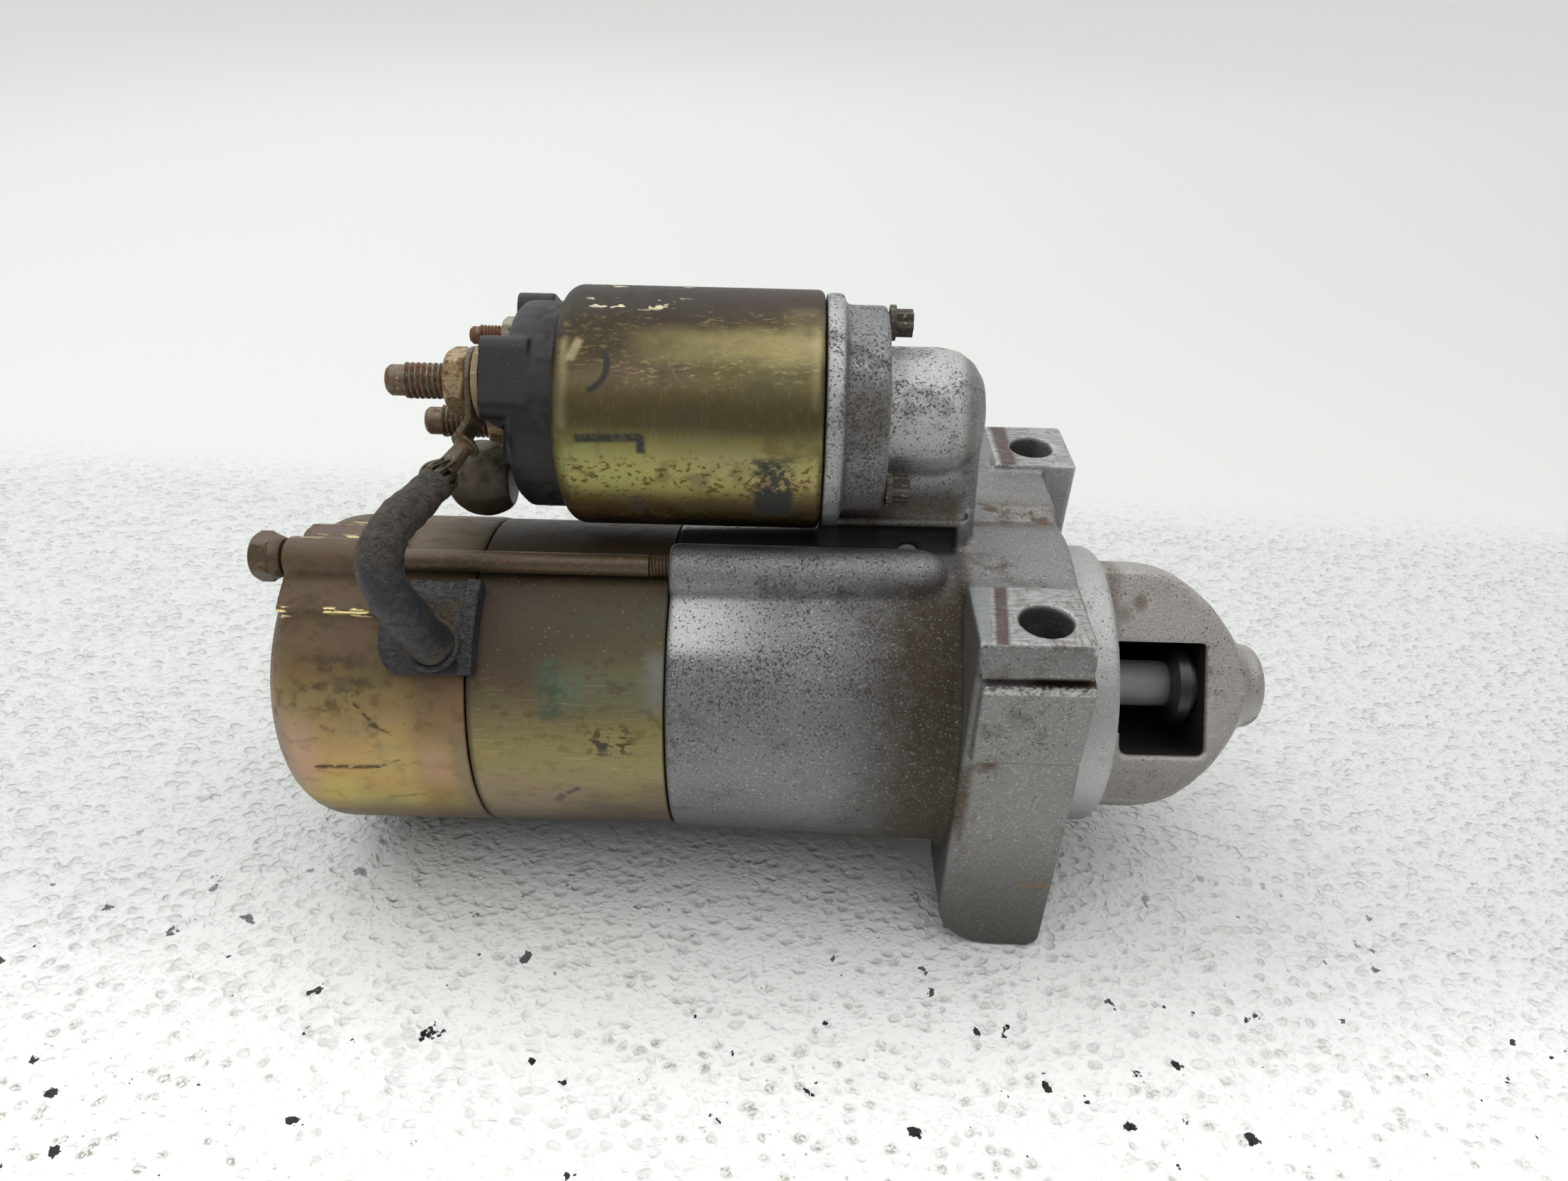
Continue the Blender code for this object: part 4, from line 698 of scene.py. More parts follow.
def rubber_material(name, dusty, dirty_at):
    """Black rubber, blue where it is clean, with brown dust on what faces up and where dirty_at says."""
    paint = Paint(name)
    blotch = paint.noise(4.5, 4, 5)
    colour = paint.mix((0.009, 0.0105, 0.0150), (0.028, 0.032, 0.041), blotch)
    upper = paint.step(paint.facing[2] + (paint.noise(3.5, 4, 8) - 0.5) * 1.2, -0.35, 0.75)
    dust = paint.flecks((0.38, 0.62), 2.6, 6, 15) * upper * dusty
    dust = paint.most(dust, dirty_at(paint) * paint.flecks((0.30, 0.52), 1.8, 5, 65))
    colour = paint.mix(colour, (0.082, 0.058, 0.034), dust * 0.9)
    grey = paint.flecks((0.52, 0.66), 1.2, 4, 45) * upper
    colour = paint.mix(colour, (0.085, 0.092, 0.105), grey * 0.35)
    web = paint.noise(1.6, 5, 55, (2.2, 1, 1), 1.2)
    cracks = paint.step(web, 0.475, 0.500) * paint.step(web, 0.525, 0.500)
    colour = paint.mix(colour, (0.008, 0.008, 0.009), cracks * 0.8)
    speck = paint.flecks((0.70, 0.75), 0.6, 3, 25)
    colour = paint.mix(colour, (0.20, 0.18, 0.15), speck * 0.5)
    rough = paint.clamp(0.48 + dust * 0.35)
    creases = paint.noise(2.2, 4, 35, (1.6, 1, 1))
    heights = ((creases, 0.30), (cracks * -1.0, 0.10), (paint.noise(0.4, 3), 0.04))
    return paint.finish(colour, rough, 0.0, heights)


def boot_material():
    paint = Paint("boot_rubber")
    blotch = paint.noise(3.4, 5, 6)
    colour = paint.mix((0.018, 0.012, 0.008), (0.062, 0.044, 0.027), blotch)
    film = paint.step(paint.facing[2], -0.3, 0.6) * paint.flecks((0.30, 0.60), 2.2, 4, 26)
    colour = paint.mix(colour, (0.150, 0.118, 0.080), film * 0.75)
    rough = paint.clamp(0.34 + blotch * 0.25)
    return paint.finish(colour, rough, 0.0, ((paint.noise(1.4, 4), 0.06),))


def rusty_material(name, rust_share, clean=(0.30, 0.26, 0.19), bare=0.85, edge_wear=0.6, glint=0.6):
    paint = Paint(name)
    patches = paint.step(paint.noise(2.0, 5, 4), 0.62 - rust_share * 0.3, 0.78 - rust_share * 0.3)
    colour = paint.mix(clean, (0.15, 0.062, 0.024), patches)
    flecks = paint.flecks((0.52, 0.70), 0.7, 4, 14)
    colour = paint.mix(colour, (0.27, 0.125, 0.045), flecks * (0.15 + rust_share * 0.4))
    dark = paint.flecks((0.58, 0.68), 1.1, 4, 24)
    colour = paint.mix(colour, (0.040, 0.026, 0.017), dark * 0.75)
    bright = paint.flecks((0.60, 0.70), 0.9, 4, 34) * (1.0 - patches)
    bright = paint.most(bright, paint.step(paint.edge, 0.56, 0.64) * edge_wear)
    colour = paint.mix(colour, (0.55, 0.46, 0.28), bright * glint)
    rough = paint.clamp(0.42 + patches * 0.35)
    metal = paint.clamp(bare - patches * 0.7 - dark * 0.3)
    return paint.finish(colour, rough, metal, ((paint.noise(0.45, 4), 0.08), (patches, 0.06)))


def plain_material(name, colour, rough, metal, variation=0.3, grain=0.02):
    paint = Paint(name)
    blotch = paint.noise(3.5, 4, 6)
    dark = tuple(part * (1.0 - variation) for part in colour)
    tint = paint.mix(dark, colour, blotch)
    rough = paint.clamp(rough + (blotch - 0.5) * 0.15)
    return paint.finish(tint, rough, metal, ((paint.noise(0.6, 4), grain),))


def copper_material():
    paint = Paint("braid_copper")
    tone = paint.noise(1.1, 4, 3)
    colour = paint.mix((0.050, 0.042, 0.032), (0.20, 0.17, 0.13), tone)
    colour = paint.mix(colour, (0.42, 0.22, 0.12), paint.flecks((0.62, 0.70), 1.6, 3, 13))
    return paint.finish(colour, 0.48, 0.8, ((paint.noise(0.3, 3), 0.03),))


def floor_material():
    """White embossed foam: small oval pits between soft ridges, with dirt in some towards the front."""
    paint = Paint("white_sheet")
    distance = paint.step(paint.y, 150, 205)
    bend = (paint.noise(6, 2, 5) - 0.5) * 3.2
    pit, pick = paint.pits(2.7, (1.35, 1, 1), bend)
    small, other = paint.pits(1.3, (1.2, 1, 1), bend)
    bowl = paint.step(pit, 0.62, 0.12) * paint.clamp(0.35 + pick)
    little = paint.step(small, 0.55, 0.10)
    height = (bowl * -1.0 - little * 0.30 + paint.noise(9, 3) * 0.5) * (1.0 - distance)
    tone = paint.mix((0.69, 0.71, 0.69), (0.73, 0.745, 0.725), paint.noise(150, 2, 3))
    tone = paint.mix(tone, (0.88, 0.89, 0.865), paint.step(paint.y, 0, -150))
    tone = paint.mix(tone, (0.755, 0.765, 0.745), distance)
    tone = paint.mix(tone, (0.88, 0.89, 0.87), paint.step(paint.y, 350, 1300))
    seam = paint.band(paint.y, 172, 196, 16)
    tone = paint.mix(tone, (0.76, 0.78, 0.77), seam * 0.5)
    shade = paint.step(pit, 0.50, 0.05) * (1.0 - distance) * paint.clamp(pick)
    tone = paint.mix(tone, (0.36, 0.36, 0.33), shade * (0.12 + paint.step(paint.y, 0, -140) * 0.34))
    region = paint.step(paint.y, -10, -120) * paint.flecks((0.36, 0.58), 60, 3, 9, (1.4, 1, 1))
    crumbs = paint.flecks((0.44, 0.56), 0.8, 4, 59)
    dirty = paint.step(pit, 0.46, 0.20) * paint.step(pick, 0.60, 0.70) * region * crumbs
    dirty = paint.most(dirty, paint.step(small, 0.40, 0.15) * paint.step(other, 0.84, 0.90) * region * crumbs)
    tone = paint.mix(tone, (0.16, 0.13, 0.10), dirty * 0.8)
    spots = paint.flecks((0.660, 0.672), 7.5, 5, 29) * paint.step(paint.y, 20, -70)
    tone = paint.mix(tone, (0.012, 0.012, 0.014), spots)
    # A little light of its own stands for the lamp that brightens the front of the sheet
    paint.give(tone, paint.shader.inputs["Emission Color"])
    paint.give(paint.band(paint.y, -150, -62, 34) * 0.34, paint.shader.inputs["Emission Strength"])
    return paint.finish(tone, 0.50, 0.0, ((height, 0.75),), level=0.35)


# ---------------------------------------------------------------- shapes

def placed(name, data):
    """A new object in the scene."""
    obj = bpy.data.objects.new(name, data)
    bpy.context.scene.collection.objects.link(obj)
    return obj


def piece_from(name, mesh, material, replaced=(), body="starter", sharp=40.0):
    mesh.materials.clear()
    mesh.materials.append(material)
    mesh.shade_smooth()
    if sharp:
        mesh.set_sharp_from_angle(angle=math.radians(sharp))
    obj = placed(name, mesh)
    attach(obj, body)
    if replaced:
        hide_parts(*replaced)
    return obj


def mesh_of(rings, closed_loop=False):
    """Skins a list of rings of points, each in millimetres, into a closed mesh."""
    bm = bmesh.new()
    made = [[bm.verts.new(Vector(point) * MM) for point in ring] for ring in rings]
    count = len(made[0])
    pairs = list(zip(made, made[1:]))
    if closed_loop:
        pairs.append((made[-1], made[0]))
    for first, second in pairs:
        for i in range(count):
            j = (i + 1) % count
            bm.faces.new((first[i], first[j], second[j], second[i]))
    if not closed_loop:
        bm.faces.new(list(reversed(made[0])))
        bm.faces.new(made[-1])
    bmesh.ops.remove_doubles(bm, verts=bm.verts, dist=1e-7)
    bmesh.ops.recalc_face_normals(bm, faces=bm.faces)
    mesh = bpy.data.meshes.new("rings")
    bm.to_mesh(mesh)
    bm.free()
    return mesh


def ring_at(x, centre, radii):
    """A ring of points round an axis along X, one for each radius."""
    ring = []
    for i, radius in enumerate(radii):
        turn = 2 * math.pi * i / len(radii)
        ring.append((x, centre[0] + radius * math.cos(turn), centre[1] + radius * math.sin(turn)))
    return ring


def lathe(profile, centre=SHAFT, segments=144, closed_loop=True):
    return mesh_of([ring_at(x, centre, [radius] * segments) for x, radius in profile], closed_loop)


def arc(x, height, radius, start, end, steps):
    points = []
    for i in range(steps + 1):
        turn = math.radians(start + (end - start) * i / steps)
        points.append((x + radius * math.cos(turn), height + radius * math.sin(turn)))
    return points


def threaded(start, end, radius, pitch, centre, plain=0.0, tip=0.0, segments=36):
    """A rod along X with a real helical thread, a plain tip at its start and a plain tail."""
    rings = []
    per_pitch = 8
    run_out = 0.7
    core = radius * 0.86
    count = int((end - start) / pitch * per_pitch)
    for i in range(count + 1):
        x = start + (end - start) * i / count
        fade = min(1.0, max(0.0, (x - start - tip) / run_out))
        fade *= min(1.0, max(0.0, (end - plain - x) / run_out))
        radii = []
        for corner in range(segments):
            wave = (x / pitch - corner / segments) % 1.0
            cut = 1.0 - min(1.0, abs(wave - 0.5) * 2.6)
            here = radius - THREAD_DEPTH * pitch * cut * fade * 0.9
            if x < start + tip:
                here = min(here, core)
            if x < start + run_out:
                here = min(here, core - (start + run_out - x) * 0.8)
            radii.append(here)
        rings.append(ring_at(x, centre, radii))
    return mesh_of(rings)


def hex_nut(start, end, across, centre, bore, chamfer=1.0):
    """A hexagon nut along X, its corners turned off by a cone at both ends."""
    segments = 96
    half = across / 2
    rings = []
    depths = [share * chamfer for share in (0.0, 0.12, 0.25, 0.45, 0.7, 1.0)]
    places = [(start + d, d) for d in depths] + [(end - d, d) for d in reversed(depths)]
    for x, depth in places:
        limit = half - 0.15 + depth * (half * 0.155 + 0.15) / chamfer
        radii = []
        for i in range(segments):
            folded = 2 * math.pi * i / segments % (math.pi / 3) - math.pi / 6
            radii.append(min(half / math.cos(folded), limit))
        rings.append(ring_at(x, centre, radii))
    rings += [ring_at(x, centre, [bore] * segments) for x in (end, start)]
    return mesh_of(rings, closed_loop=True)


def smooth_points(points, per_span=6):
    """A Catmull-Rom curve through points."""
    points = [Vector(p) for p in points]
    full = [points[0] * 2 - points[1], *points, points[-1] * 2 - points[-2]]
    result = []
    for before, first, second, after in zip(full, full[1:], full[2:], full[3:]):
        for i in range(per_span):
            share = i / per_span
            result.append(0.5 * (2 * first + (second - before) * share
                                 + (2 * before - 5 * first + 4 * second - after) * share * share
                                 + (3 * first - before - 3 * second + after) * share ** 3))
    result.append(points[-1])
    return result


def tube(points, radius_at, segments=32):
    """A tube whose radius is radius_at(share along, angle)."""
    rings = []
    last = None
    count = len(points)
    for index, point in enumerate(points):
        ahead = points[min(index + 1, count - 1)] - points[max(index - 1, 0)]
        ahead.normalize()
        if last is None:
            last = ahead.orthogonal().normalized()
        last = (last - ahead * last.dot(ahead)).normalized()
        side = ahead.cross(last)
        share = index / (count - 1)
        ring = []
        for i in range(segments):
            turn = 2 * math.pi * i / segments
            radius = radius_at(share, turn)
            ring.append(point + (last * math.cos(turn) + side * math.sin(turn)) * radius)
        rings.append(ring)
    return mesh_of(rings)


def joined(meshes, weld=False):
    """One mesh made of several."""
    bm = bmesh.new()
    for mesh in meshes:
        bm.from_mesh(mesh)
    if weld:
        bmesh.ops.remove_doubles(bm, verts=bm.verts, dist=1e-6)
    whole = bpy.data.meshes.new("joined")
    bm.to_mesh(whole)
    bm.free()
    return whole


def node_copy(names):
    """A welded copy of CAD nodes' meshes as one temporary object."""
    return placed("copy", joined([nodes[name].data for name in names], weld=True))


def shaped(obj):
    """The mesh of an object with its modifiers applied."""
    return bpy.data.meshes.new_from_object(obj.evaluated_get(bpy.context.evaluated_depsgraph_get()))


def rounded_copy(names, voxel, passes, extras=(), cutters=(), weight=None):
    """A copy of CAD nodes with its edges and inner corners rounded, as a casting's are."""
    obj = node_copy(names)
    for mesh in cutters:
        cutter = placed("cutter", mesh)
        cutter.hide_render = True
        modifier = obj.modifiers.new("cut", "BOOLEAN")
        modifier.operation = "DIFFERENCE"
        modifier.object = cutter
    if cutters:
        cut = shaped(obj)
        obj.modifiers.clear()
        obj.data = cut
    if extras:
        obj.data = joined([obj.data, *extras])
    remesh = obj.modifiers.new("remesh", "REMESH")
    remesh.mode = "VOXEL"
    remesh.voxel_size = voxel * MM
    mesh = shaped(obj)
    for other in [o for o in bpy.data.objects if o.name.startswith("cutter")]:
        bpy.data.objects.remove(other)
    obj.modifiers.clear()
    obj.data = mesh
    if weight:
        group = obj.vertex_groups.new(name="soft")
        for vertex in mesh.vertices:
            group.add([vertex.index], weight(vertex.co / MM), "REPLACE")
    smooth = obj.modifiers.new("smooth", "SMOOTH")
    smooth.factor = 0.5
    smooth.iterations = passes
    if weight:
        smooth.vertex_group = "soft"
    result = shaped(obj)
    bpy.data.objects.remove(obj)
    return result


def blob(centre, radii, turn):
    """An egg shape, turned about X."""
    bm = bmesh.new()
    bmesh.ops.create_uvsphere(bm, u_segments=24, v_segments=12, radius=1.0)
    mesh = bpy.data.meshes.new("blob")
    bm.to_mesh(mesh)
    bm.free()
    mesh.transform(Matrix.Translation(Vector(centre) * MM) @ Matrix.Rotation(turn, 4, "X")
                   @ Matrix.Diagonal((*(radius * MM for radius in radii), 1)))
    return mesh


# ---------------------------------------------------------------- the pieces

def housing_weight(point):
    """Machined faces and holes keep their edges; cast edges are rounded more."""
    if abs(point.z - LUG_TOP) < 1.2 and point.x > 155:
        return 0.35
    if point.x > 194:
        return 1.0
    return 0.85


def lever_box(low, high):
    """A box between two corners in the fork's axes: X, side and up."""
    corners = []
    for x in (low[0], high[0]):
        for side, up in ((low[1], low[2]), (high[1], low[2]), (high[1], high[2]), (low[1], high[2])):
            corners.append(Vector((x, 0, 0)) + LEVER_SIDE * side + LEVER_UP * up)
    return mesh_of((corners[:4], corners[4:]))


NECK_LEDGE = lever_box((124.0, -14.0, 45.7), (158.2, -8.9, 48.5))
NECK_RECESS = lever_box((124.7, -12.8, 38.4), (155.9, -9.4, 43.9))

casting = casting_material()
piece_from("housing_casting", rounded_copy(["drive_end_housing"], 0.7, 8, cutters=(NECK_LEDGE, NECK_RECESS),
                                           weight=housing_weight), casting,
           ["drive_end_housing"], sharp=0)

cover_paint = cover_material()
piece_from("cover_cup", rounded_copy(["rear_cover"], 0.7, 6), cover_paint, ["rear_cover"],
           sharp=0)

frame_paint = frame_material()
FRAME_TUBE = ((47.3, 37.2), (47.6, 37.7), (90.4, 37.7), (90.7, 37.4), (90.7, 34.2), (47.3, 34.2))
piece_from("frame_tube", lathe(FRAME_TUBE), frame_paint, ["field_frame"])

can_paint = can_material()
CAN_SHELL = [(68.6, 23.5), (67.0, 23.5), *arc(71.0, 22.9, 4.0, 180, 90, 10)[1:], (122.6, 26.9),
             *arc(122.6, 25.3, 1.6, 90, 0, 5)[1:], (124.2, 11.9), (122.6, 11.9), (122.6, 25.3), (68.6, 25.3)]
piece_from("can_shell", lathe(CAN_SHELL, SOLENOID), can_paint, ["solenoid_can"])

cap_paint = cap_material()
piece_from("cap_moulding", rounded_copy(["solenoid_cap"], 0.45, 4), cap_paint,
           ["solenoid_cap"], sharp=0)

# Terminals: threaded studs with plain tips, hexagon nuts, and rusty washers
MOTOR = clocked(0, -14.2, 2.1).yz
BATTERY = clocked(0, 14.2, -2.1).yz
SIGNAL = clocked(0, 8.0, 17.5).yz
stud_paint = rusty_material("stud_rust", 0.45, (0.15, 0.115, 0.075), 0.5, 0.25)
small_stud_paint = rusty_material("small_stud_rust", 0.85, (0.16, 0.12, 0.08), 0.5)
nut_paint = rusty_material("nut_rust", 0.45, (0.33, 0.25, 0.135), 0.7)
signal_nut_paint = rusty_material("signal_nut_plate", 0.05, (0.30, 0.28, 0.22))
washer_paint = rusty_material("washer_rust", 0.75, (0.20, 0.15, 0.09), 0.5)
for name, start, radius, pitch, centre, tip, look in (
    ("motor", 29.9, 3.9, 1.25, MOTOR, 4.0, stud_paint),
    ("battery", 28.7, 3.9, 1.25, BATTERY, 4.0, stud_paint),
    ("signal", 40.6, 2.45, 0.8, SIGNAL, 2.5, small_stud_paint),
):
    rod = threaded(start, 63.5, radius, pitch, centre, 11.0, tip)
    piece_from(f"{name}_thread", rod, look, [f"{name}_stud"], sharp=55)
for name, start, end, across, centre, bore, look in (
    ("motor", 43.4, 48.0, 13.0, MOTOR, 4.15, nut_paint),
    ("battery", 44.9, 49.7, 13.0, BATTERY, 4.15, nut_paint),
    ("signal", 48.8, 52.9, 8.0, SIGNAL, 2.65, signal_nut_paint),
):
    nut = hex_nut(start, end, across, centre, bore, across * 0.08)
    piece_from(f"{name}_hex", nut, look, [f"{name}_nut"])


def bolt_mesh(degrees):
    """Hexagon head, a neck under it, plain shank, and a thread where it enters the housing."""
    turn = math.radians(degrees)
    centre = (BOLT_CIRCLE * math.cos(turn), BOLT_CIRCLE * math.sin(turn))
    head = hex_nut(-1.8, 2.7, 10.0, centre, 0.4, 0.9)
    neck = lathe(((2.3, 0), (2.3, 5.0), (2.6, 5.1), (4.3, 4.4), (4.6, 4.1), (4.6, 0)), centre, 48, False)
    shank = lathe(((2.5, 0), (2.5, 2.45), (86.3, 2.45), (86.3, 0)), centre, 32, False)
    screw = threaded(86.0, 110.0, 2.45, 0.8, centre, segments=28)
    return joined((head, neck, shank, screw))


bolt_paint = rusty_material("bolt_plate", 0.20, (0.090, 0.064, 0.037), 0.30, 0.0, glint=0.15)
for name, degrees in (("near", 106.0), ("far", 286.0)):
    piece_from(f"{name}_bolt", bolt_mesh(degrees), bolt_paint, [f"through_bolt_{name}"],
               sharp=45)

# The lead: a wrinkled sleeve, strands that flare at its mouth, and the crimped ring terminal
LEAD = ((41.4, -29.9, 29.6), (41.4, -33.4, 35.0), (40.7, -36.2, 40.8), (39.0, -37.4, 46.2),
        (37.4, -37.2, 50.4), (36.8, -35.6, 54.0), (36.9, -32.8, 57.0), (38.2, -28.2, 59.2),
        (40.7, -21.6, 60.2), (43.0, -15.0, 61.2))


def sleeve_radius(share, turn):
    """Plump in the middle and thinner at the upper end, where the rubber has shrunk into folds."""
    around = Vector((math.cos(turn), math.sin(turn), 0))
    wrinkle = noise.noise(Vector((share * 9.0, *around.xy)) * 1.1)
    crease = noise.noise(Vector((share * 30.0, around.x * 0.9, around.y * 0.9 + 7)))
    upper = min(1.0, max(0.0, (share - 0.60) / 0.40))
    return 4.6 - upper * 0.8 + wrinkle * 0.40 + crease * (0.12 + upper * 0.30)


def sleeve_dirt(paint):
    """Soot near the upper end, and dust where the lead goes into its grommet."""
    return paint.most(paint.step(paint.z, 53, 58) * 0.7,
                      paint.step(paint.z, 35, 30) * paint.step(paint.x, 40, 44))


sleeve_paint = rubber_material("sleeve_rubber", 0.45, sleeve_dirt)
piece_from("sleeve", tube(smooth_points(LEAD, 12), sleeve_radius, 48), sleeve_paint,
           ["lead_sleeve"], sharp=0)

# The grommet's own axes: out of the cover, and down round it
GROMMET_TURN = math.radians(128.5)
GROMMET_OUT = Vector((0, math.cos(GROMMET_TURN), math.sin(GROMMET_TURN)))
GROMMET_SIDE = Vector((0, -GROMMET_OUT.z, GROMMET_OUT.y))
GROMMET_CORNER = 8.0


def grommet_dirt(paint):
    side = paint.y * GROMMET_SIDE.y + paint.z * GROMMET_SIDE.z
    return paint.patch(paint.x, side, (40.0, 0.5), (6.5, 7.0), 0, 2.0)


def corner_cutter():
    """Rounds off the plate's lower corner at the end of the cover."""
    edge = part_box("lead_grommet")[0][0] / MM
    middle = 11.9 - GROMMET_CORNER
    outline = [(edge - 1, middle), (edge, middle)]
    for step in range(1, 9):
        turn = math.radians(90 * step / 8)
        outline.append((edge + GROMMET_CORNER * (1 - math.cos(turn)),
                        middle + GROMMET_CORNER * math.sin(turn)))
    outline += [(edge + GROMMET_CORNER, 14.0), (edge - 1, 14.0)]
    rings = []
    for reach in (34.0, 44.0):
        rings.append([Vector((x, 0, 0)) + GROMMET_SIDE * side + GROMMET_OUT * reach for x, side in outline])
    return mesh_of(rings)


def grommet_ring():
    """A thin raised ring where the lead goes in."""
    points = []
    for step in range(25):
        turn = 2 * math.pi * step / 24
        points.append(Vector(LEAD[0]) + Vector((math.cos(turn) * 5.2, 0, 0))
                      + GROMMET_SIDE * (math.sin(turn) * 5.2) + GROMMET_OUT * 0.6)
    return tube(points, lambda share, turn: 0.9, 12)


grommet_paint = rubber_material("grommet_rubber", 0.35, grommet_dirt)
dish = blob(Vector((38.6, 0, 0)) + GROMMET_OUT * 41.3 + GROMMET_SIDE * 0.5, (7.4, 8.6, 2.0),
            GROMMET_TURN - math.pi / 2)
piece_from("grommet", rounded_copy(["lead_grommet"], 0.35, 4, (grommet_ring(),), (corner_cutter(), dish)),
           grommet_paint, ["lead_grommet"], sharp=0)

boot_paint = boot_material()
boot_mesh = rounded_copy(["terminal_boot"], 0.5, 8)
boot_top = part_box("terminal_boot")[1][2]
BOOT_SHORTENING = 0.90
for vertex in boot_mesh.vertices:
    vertex.co.z = boot_top - (boot_top - vertex.co.z) * BOOT_SHORTENING
piece_from("boot", boot_mesh, boot_paint, ["terminal_boot"], sharp=0)


def strand_meshes():
    """Thin strands that flare between the sleeve's mouth and the terminal."""
    rng = random.Random(11)
    start = Vector((42.5, -16.4, 61.0))
    end = Vector((44.5, -9.8, 62.6))
    along = (end - start).normalized()
    side = along.orthogonal().normalized()
    other = along.cross(side)
    meshes = []
    for _ in range(64):
        ring = math.sqrt(rng.random()) * 2.7
        turn = rng.random() * 2 * math.pi
        twist = 0.5 + rng.random() * 0.5
        flare = 0.1 + rng.random() * 0.45
        reach = 0.75 + rng.random() * 0.30
        path = []
        for i in range(STRAND_STEPS + 1):
            share = i / STRAND_STEPS
            spread = ring * (1.0 + flare * math.sin(math.pi * share))
            angle = turn + twist * share
            path.append(start.lerp(end, share * reach)
                        + (side * math.cos(angle) + other * math.sin(angle)) * spread)
        meshes.append(tube(path, lambda share, angle: 0.30, 6))
    return meshes


piece_from("braid", joined(strand_meshes()), copper_material(), ["lead_braid"], sharp=0)

# The terminal's crimped barrel is pressed flat, so it is slimmer than the round one that it replaces
CRIMP = (Vector((43.7, -11.4, 61.9)), Vector((47.7, -3.4, 65.6)))


def crimp_radius(share, turn):
    return 2.9 - share * 0.7 - 0.5 * abs(math.sin(turn)) + 0.3 * max(0.0, 0.2 - share) * 5


crimp_line = [CRIMP[0].lerp(CRIMP[1], i / 10) for i in range(11)]
old_barrel = tube([CRIMP[0].lerp(CRIMP[1], t) for t in (-0.2, 0.2, 0.5, 0.80)], lambda share, turn: 4.4, 24)
terminal_paint = rusty_material("terminal_steel", 0.30, (0.105, 0.085, 0.055), 0.5)
new_barrel = tube(crimp_line, crimp_radius)
piece_from("terminal", rounded_copy(["lead_terminal"], 0.35, 3, (new_barrel,), (old_barrel,)),
           terminal_paint, ["lead_terminal"], sharp=0)

# The turned parts that show in the nose window, with soft shading round them
shaft_paint = plain_material("ground_steel", (0.66, 0.66, 0.655), 0.40, 0.65, 0.25, 0.01)
collar_paint = plain_material("collar_steel", (0.075, 0.075, 0.080), 0.38, 0.8, 0.4)
collar = ((213.2, 9.4), (214.2, 10.4), (217.0, 10.4), (217.0, 9.0), (218.4, 9.0), (218.4, 6.1), (213.2, 6.1))
piece_from("collar", lathe(collar), collar_paint, ["stop_collar"], body="output", sharp=30)
shaft_copy = node_copy(["output_shaft"])
piece_from("shaft", shaft_copy.data, shaft_paint, ["output_shaft"], body="output", sharp=40)
bpy.data.objects.remove(shaft_copy)

# CAD nodes that keep their own shape
screw_paint = rusty_material("screw_steel", 0.0, (0.050, 0.043, 0.036), 0.35, 0.15)
dark_paint = plain_material("oiled_steel", (0.060, 0.055, 0.055), 0.42, 0.7, 0.4)
for names, look in (
    (("motor_washer", "battery_washer"), washer_paint),
    (("solenoid_screw_1", "solenoid_screw_2", "solenoid_screw_3"), screw_paint),
    (("armature_shaft", "lever_pin"), shaft_paint),
    (("pinion", "overrunning_clutch", "plunger"), dark_paint),
    (("planet_gear_1", "planet_gear_2", "planet_gear_3", "centre_plate", "solenoid_core", "armature_core",
      "brush_plate"), plain_material("inner_steel", (0.42, 0.41, 0.40), 0.40, 1.0)),
    (("ring_gear", "shift_lever"), plain_material("moulded_polymer", (0.20, 0.19, 0.17), 0.55, 0.0)),
    (("nose_bushing", "rear_bushing"), plain_material("sintered_bronze", (0.46, 0.31, 0.14), 0.50, 1.0)),
    (("contact_disc", "solenoid_coil", "armature_windings", "commutator"),
     plain_material("winding_copper", (0.50, 0.24, 0.10), 0.38, 1.0)),
    (("magnet_1", "magnet_2", "magnet_3", "magnet_4"),
     plain_material("ferrite", (0.075, 0.073, 0.072), 0.60, 0.0)),
    (("brush_1", "brush_2", "brush_3", "brush_4"),
     plain_material("carbon", (0.055, 0.045, 0.038), 0.55, 0.2)),
    (("plunger_spring",), plain_material("spring_steel", (0.38, 0.37, 0.35), 0.35, 1.0)),
):
    for name in names:
        nodes[name].data.materials.clear()
        nodes[name].data.materials.append(look)

# ---------------------------------------------------------------- floor, light and camera

# The motor rests on the far bolt's head and the feet of the two lug columns, a little nose-down
REAR_REST = (0.4, -44.6)
FRONT_REST = (173.0, -50.05)
slope = math.atan2(FRONT_REST[1] - REAR_REST[1], FRONT_REST[0] - REAR_REST[0])
HALF_FLOOR = 6.0
sides = ((-1, -1), (1, -1), (1, 1), (-1, 1))
floor_mesh = bpy.data.meshes.new("floor")
floor_mesh.from_pydata([(x * HALF_FLOOR, y * HALF_FLOOR, 0) for x, y in sides], [], [(0, 1, 2, 3)])
floor_mesh.materials.append(floor_material())
floor = placed("floor", floor_mesh)
floor.matrix_world = (Matrix.Translation((0, 0, (REAR_REST[1] - REAR_REST[0] * math.tan(slope)) * MM))
                      @ Matrix.Rotation(-slope, 4, "Y"))


def area_light(name, position, target, size, power, colour):
    data = bpy.data.lights.new(name, "AREA")
    data.shape = "RECTANGLE"
    data.size, data.size_y = size
    data.energy = power
    data.color = colour
    lamp = placed(name, data)
    lamp.location = position
    direction = Vector(target) - Vector(position)
    lamp.rotation_euler = direction.to_track_quat("-Z", "Y").to_euler()


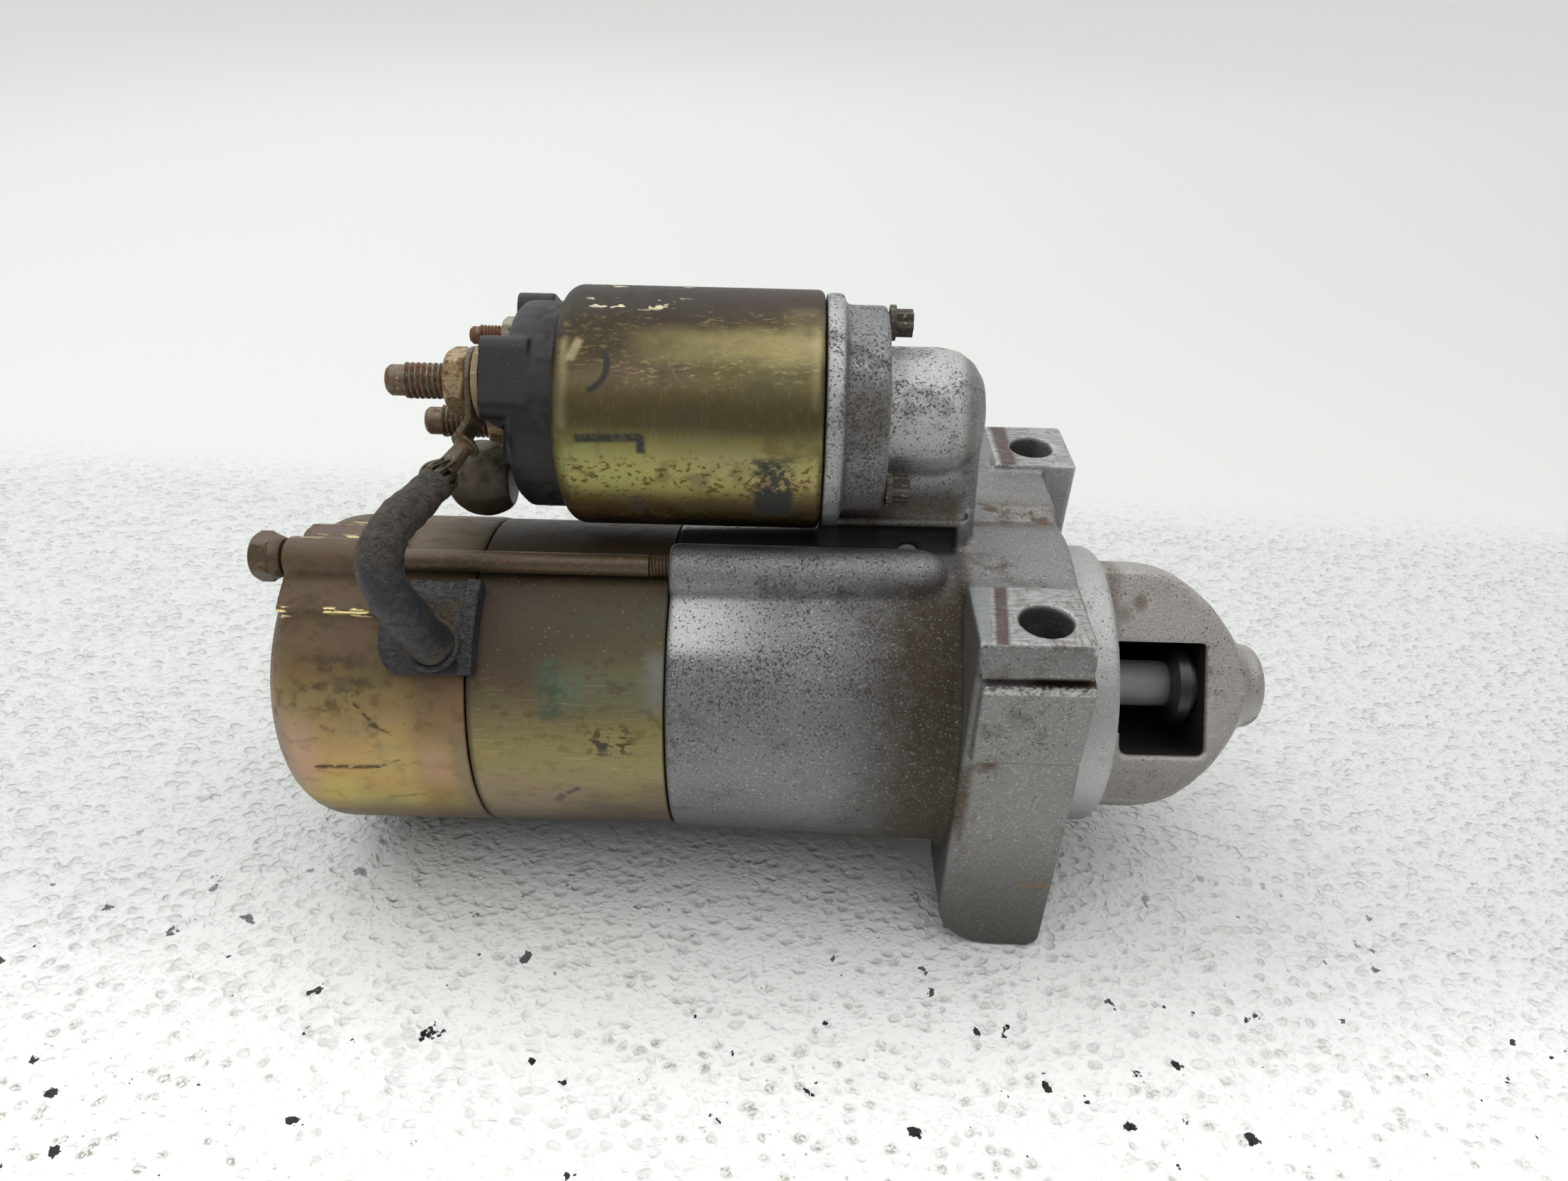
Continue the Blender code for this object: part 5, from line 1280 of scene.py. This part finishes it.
area_light("window", (-0.35, 0.55, 0.85), (0.12, 0.0, 0.0), (1.1, 0.8), 3.0, (0.97, 0.985, 1.0))
area_light("ceiling", (0.15, -0.38, 1.15), (0.12, -0.10, 0.0), (1.8, 1.2), 7.0, (1.0, 0.99, 0.97))


def soft_room():
    """Light from all round: grey low down, white high up, and lighter behind the motor than before it."""
    world = bpy.data.worlds.new("soft_room")
    world.use_nodes = True
    tree = world.node_tree
    tree.nodes.clear()
    output = tree.nodes.new("ShaderNodeOutputWorld")
    background = tree.nodes.new("ShaderNodeBackground")
    coords = tree.nodes.new("ShaderNodeTexCoord")
    split = tree.nodes.new("ShaderNodeSeparateXYZ")
    ramp = tree.nodes.new("ShaderNodeValToRGB")
    high = tree.nodes.new("ShaderNodeMath")
    lift = tree.nodes.new("ShaderNodeMath")
    ramp.color_ramp.interpolation = "EASE"
    for element, place, colour in zip(ramp.color_ramp.elements, (0.45, 0.86),
                                      ((0.26, 0.26, 0.26, 1), (0.99, 1.0, 0.985, 1))):
        element.position = place
        element.color = colour
    for node, factor in ((high, 0.375), (lift, 0.30)):
        node.operation = "MULTIPLY_ADD"
        node.inputs[1].default_value = factor
    high.inputs[2].default_value = 0.5
    background.inputs["Strength"].default_value = 0.93
    for source, target in (
        (coords.outputs["Generated"], split.inputs[0]), (split.outputs["Z"], high.inputs[0]),
        (split.outputs["Y"], lift.inputs[0]), (high.outputs[0], lift.inputs[2]),
        (lift.outputs[0], ramp.inputs["Fac"]), (ramp.outputs["Color"], background.inputs["Color"]),
        (background.outputs["Background"], output.inputs["Surface"])):
        tree.links.new(source, target)
    return world


bpy.context.scene.world = soft_room()

camera_data = bpy.data.cameras.new("camera")
camera_data.sensor_width = 36.0
camera_data.lens = 23.95
camera_data.clip_start = 0.01
camera = placed("camera", camera_data)
right = Vector((0.99966, 0.01833, 0.01827))
upward = Vector((-0.02547, 0.57033, 0.82102))
forward = right.cross(upward) * -1.0
turn = Matrix((right, upward, forward * -1.0)).transposed().to_4x4()
camera.matrix_world = Matrix.Translation((0.11774, -0.20631, 0.16908)) @ turn
bpy.context.scene.camera = camera
bpy.context.scene.view_settings.view_transform = "Standard"
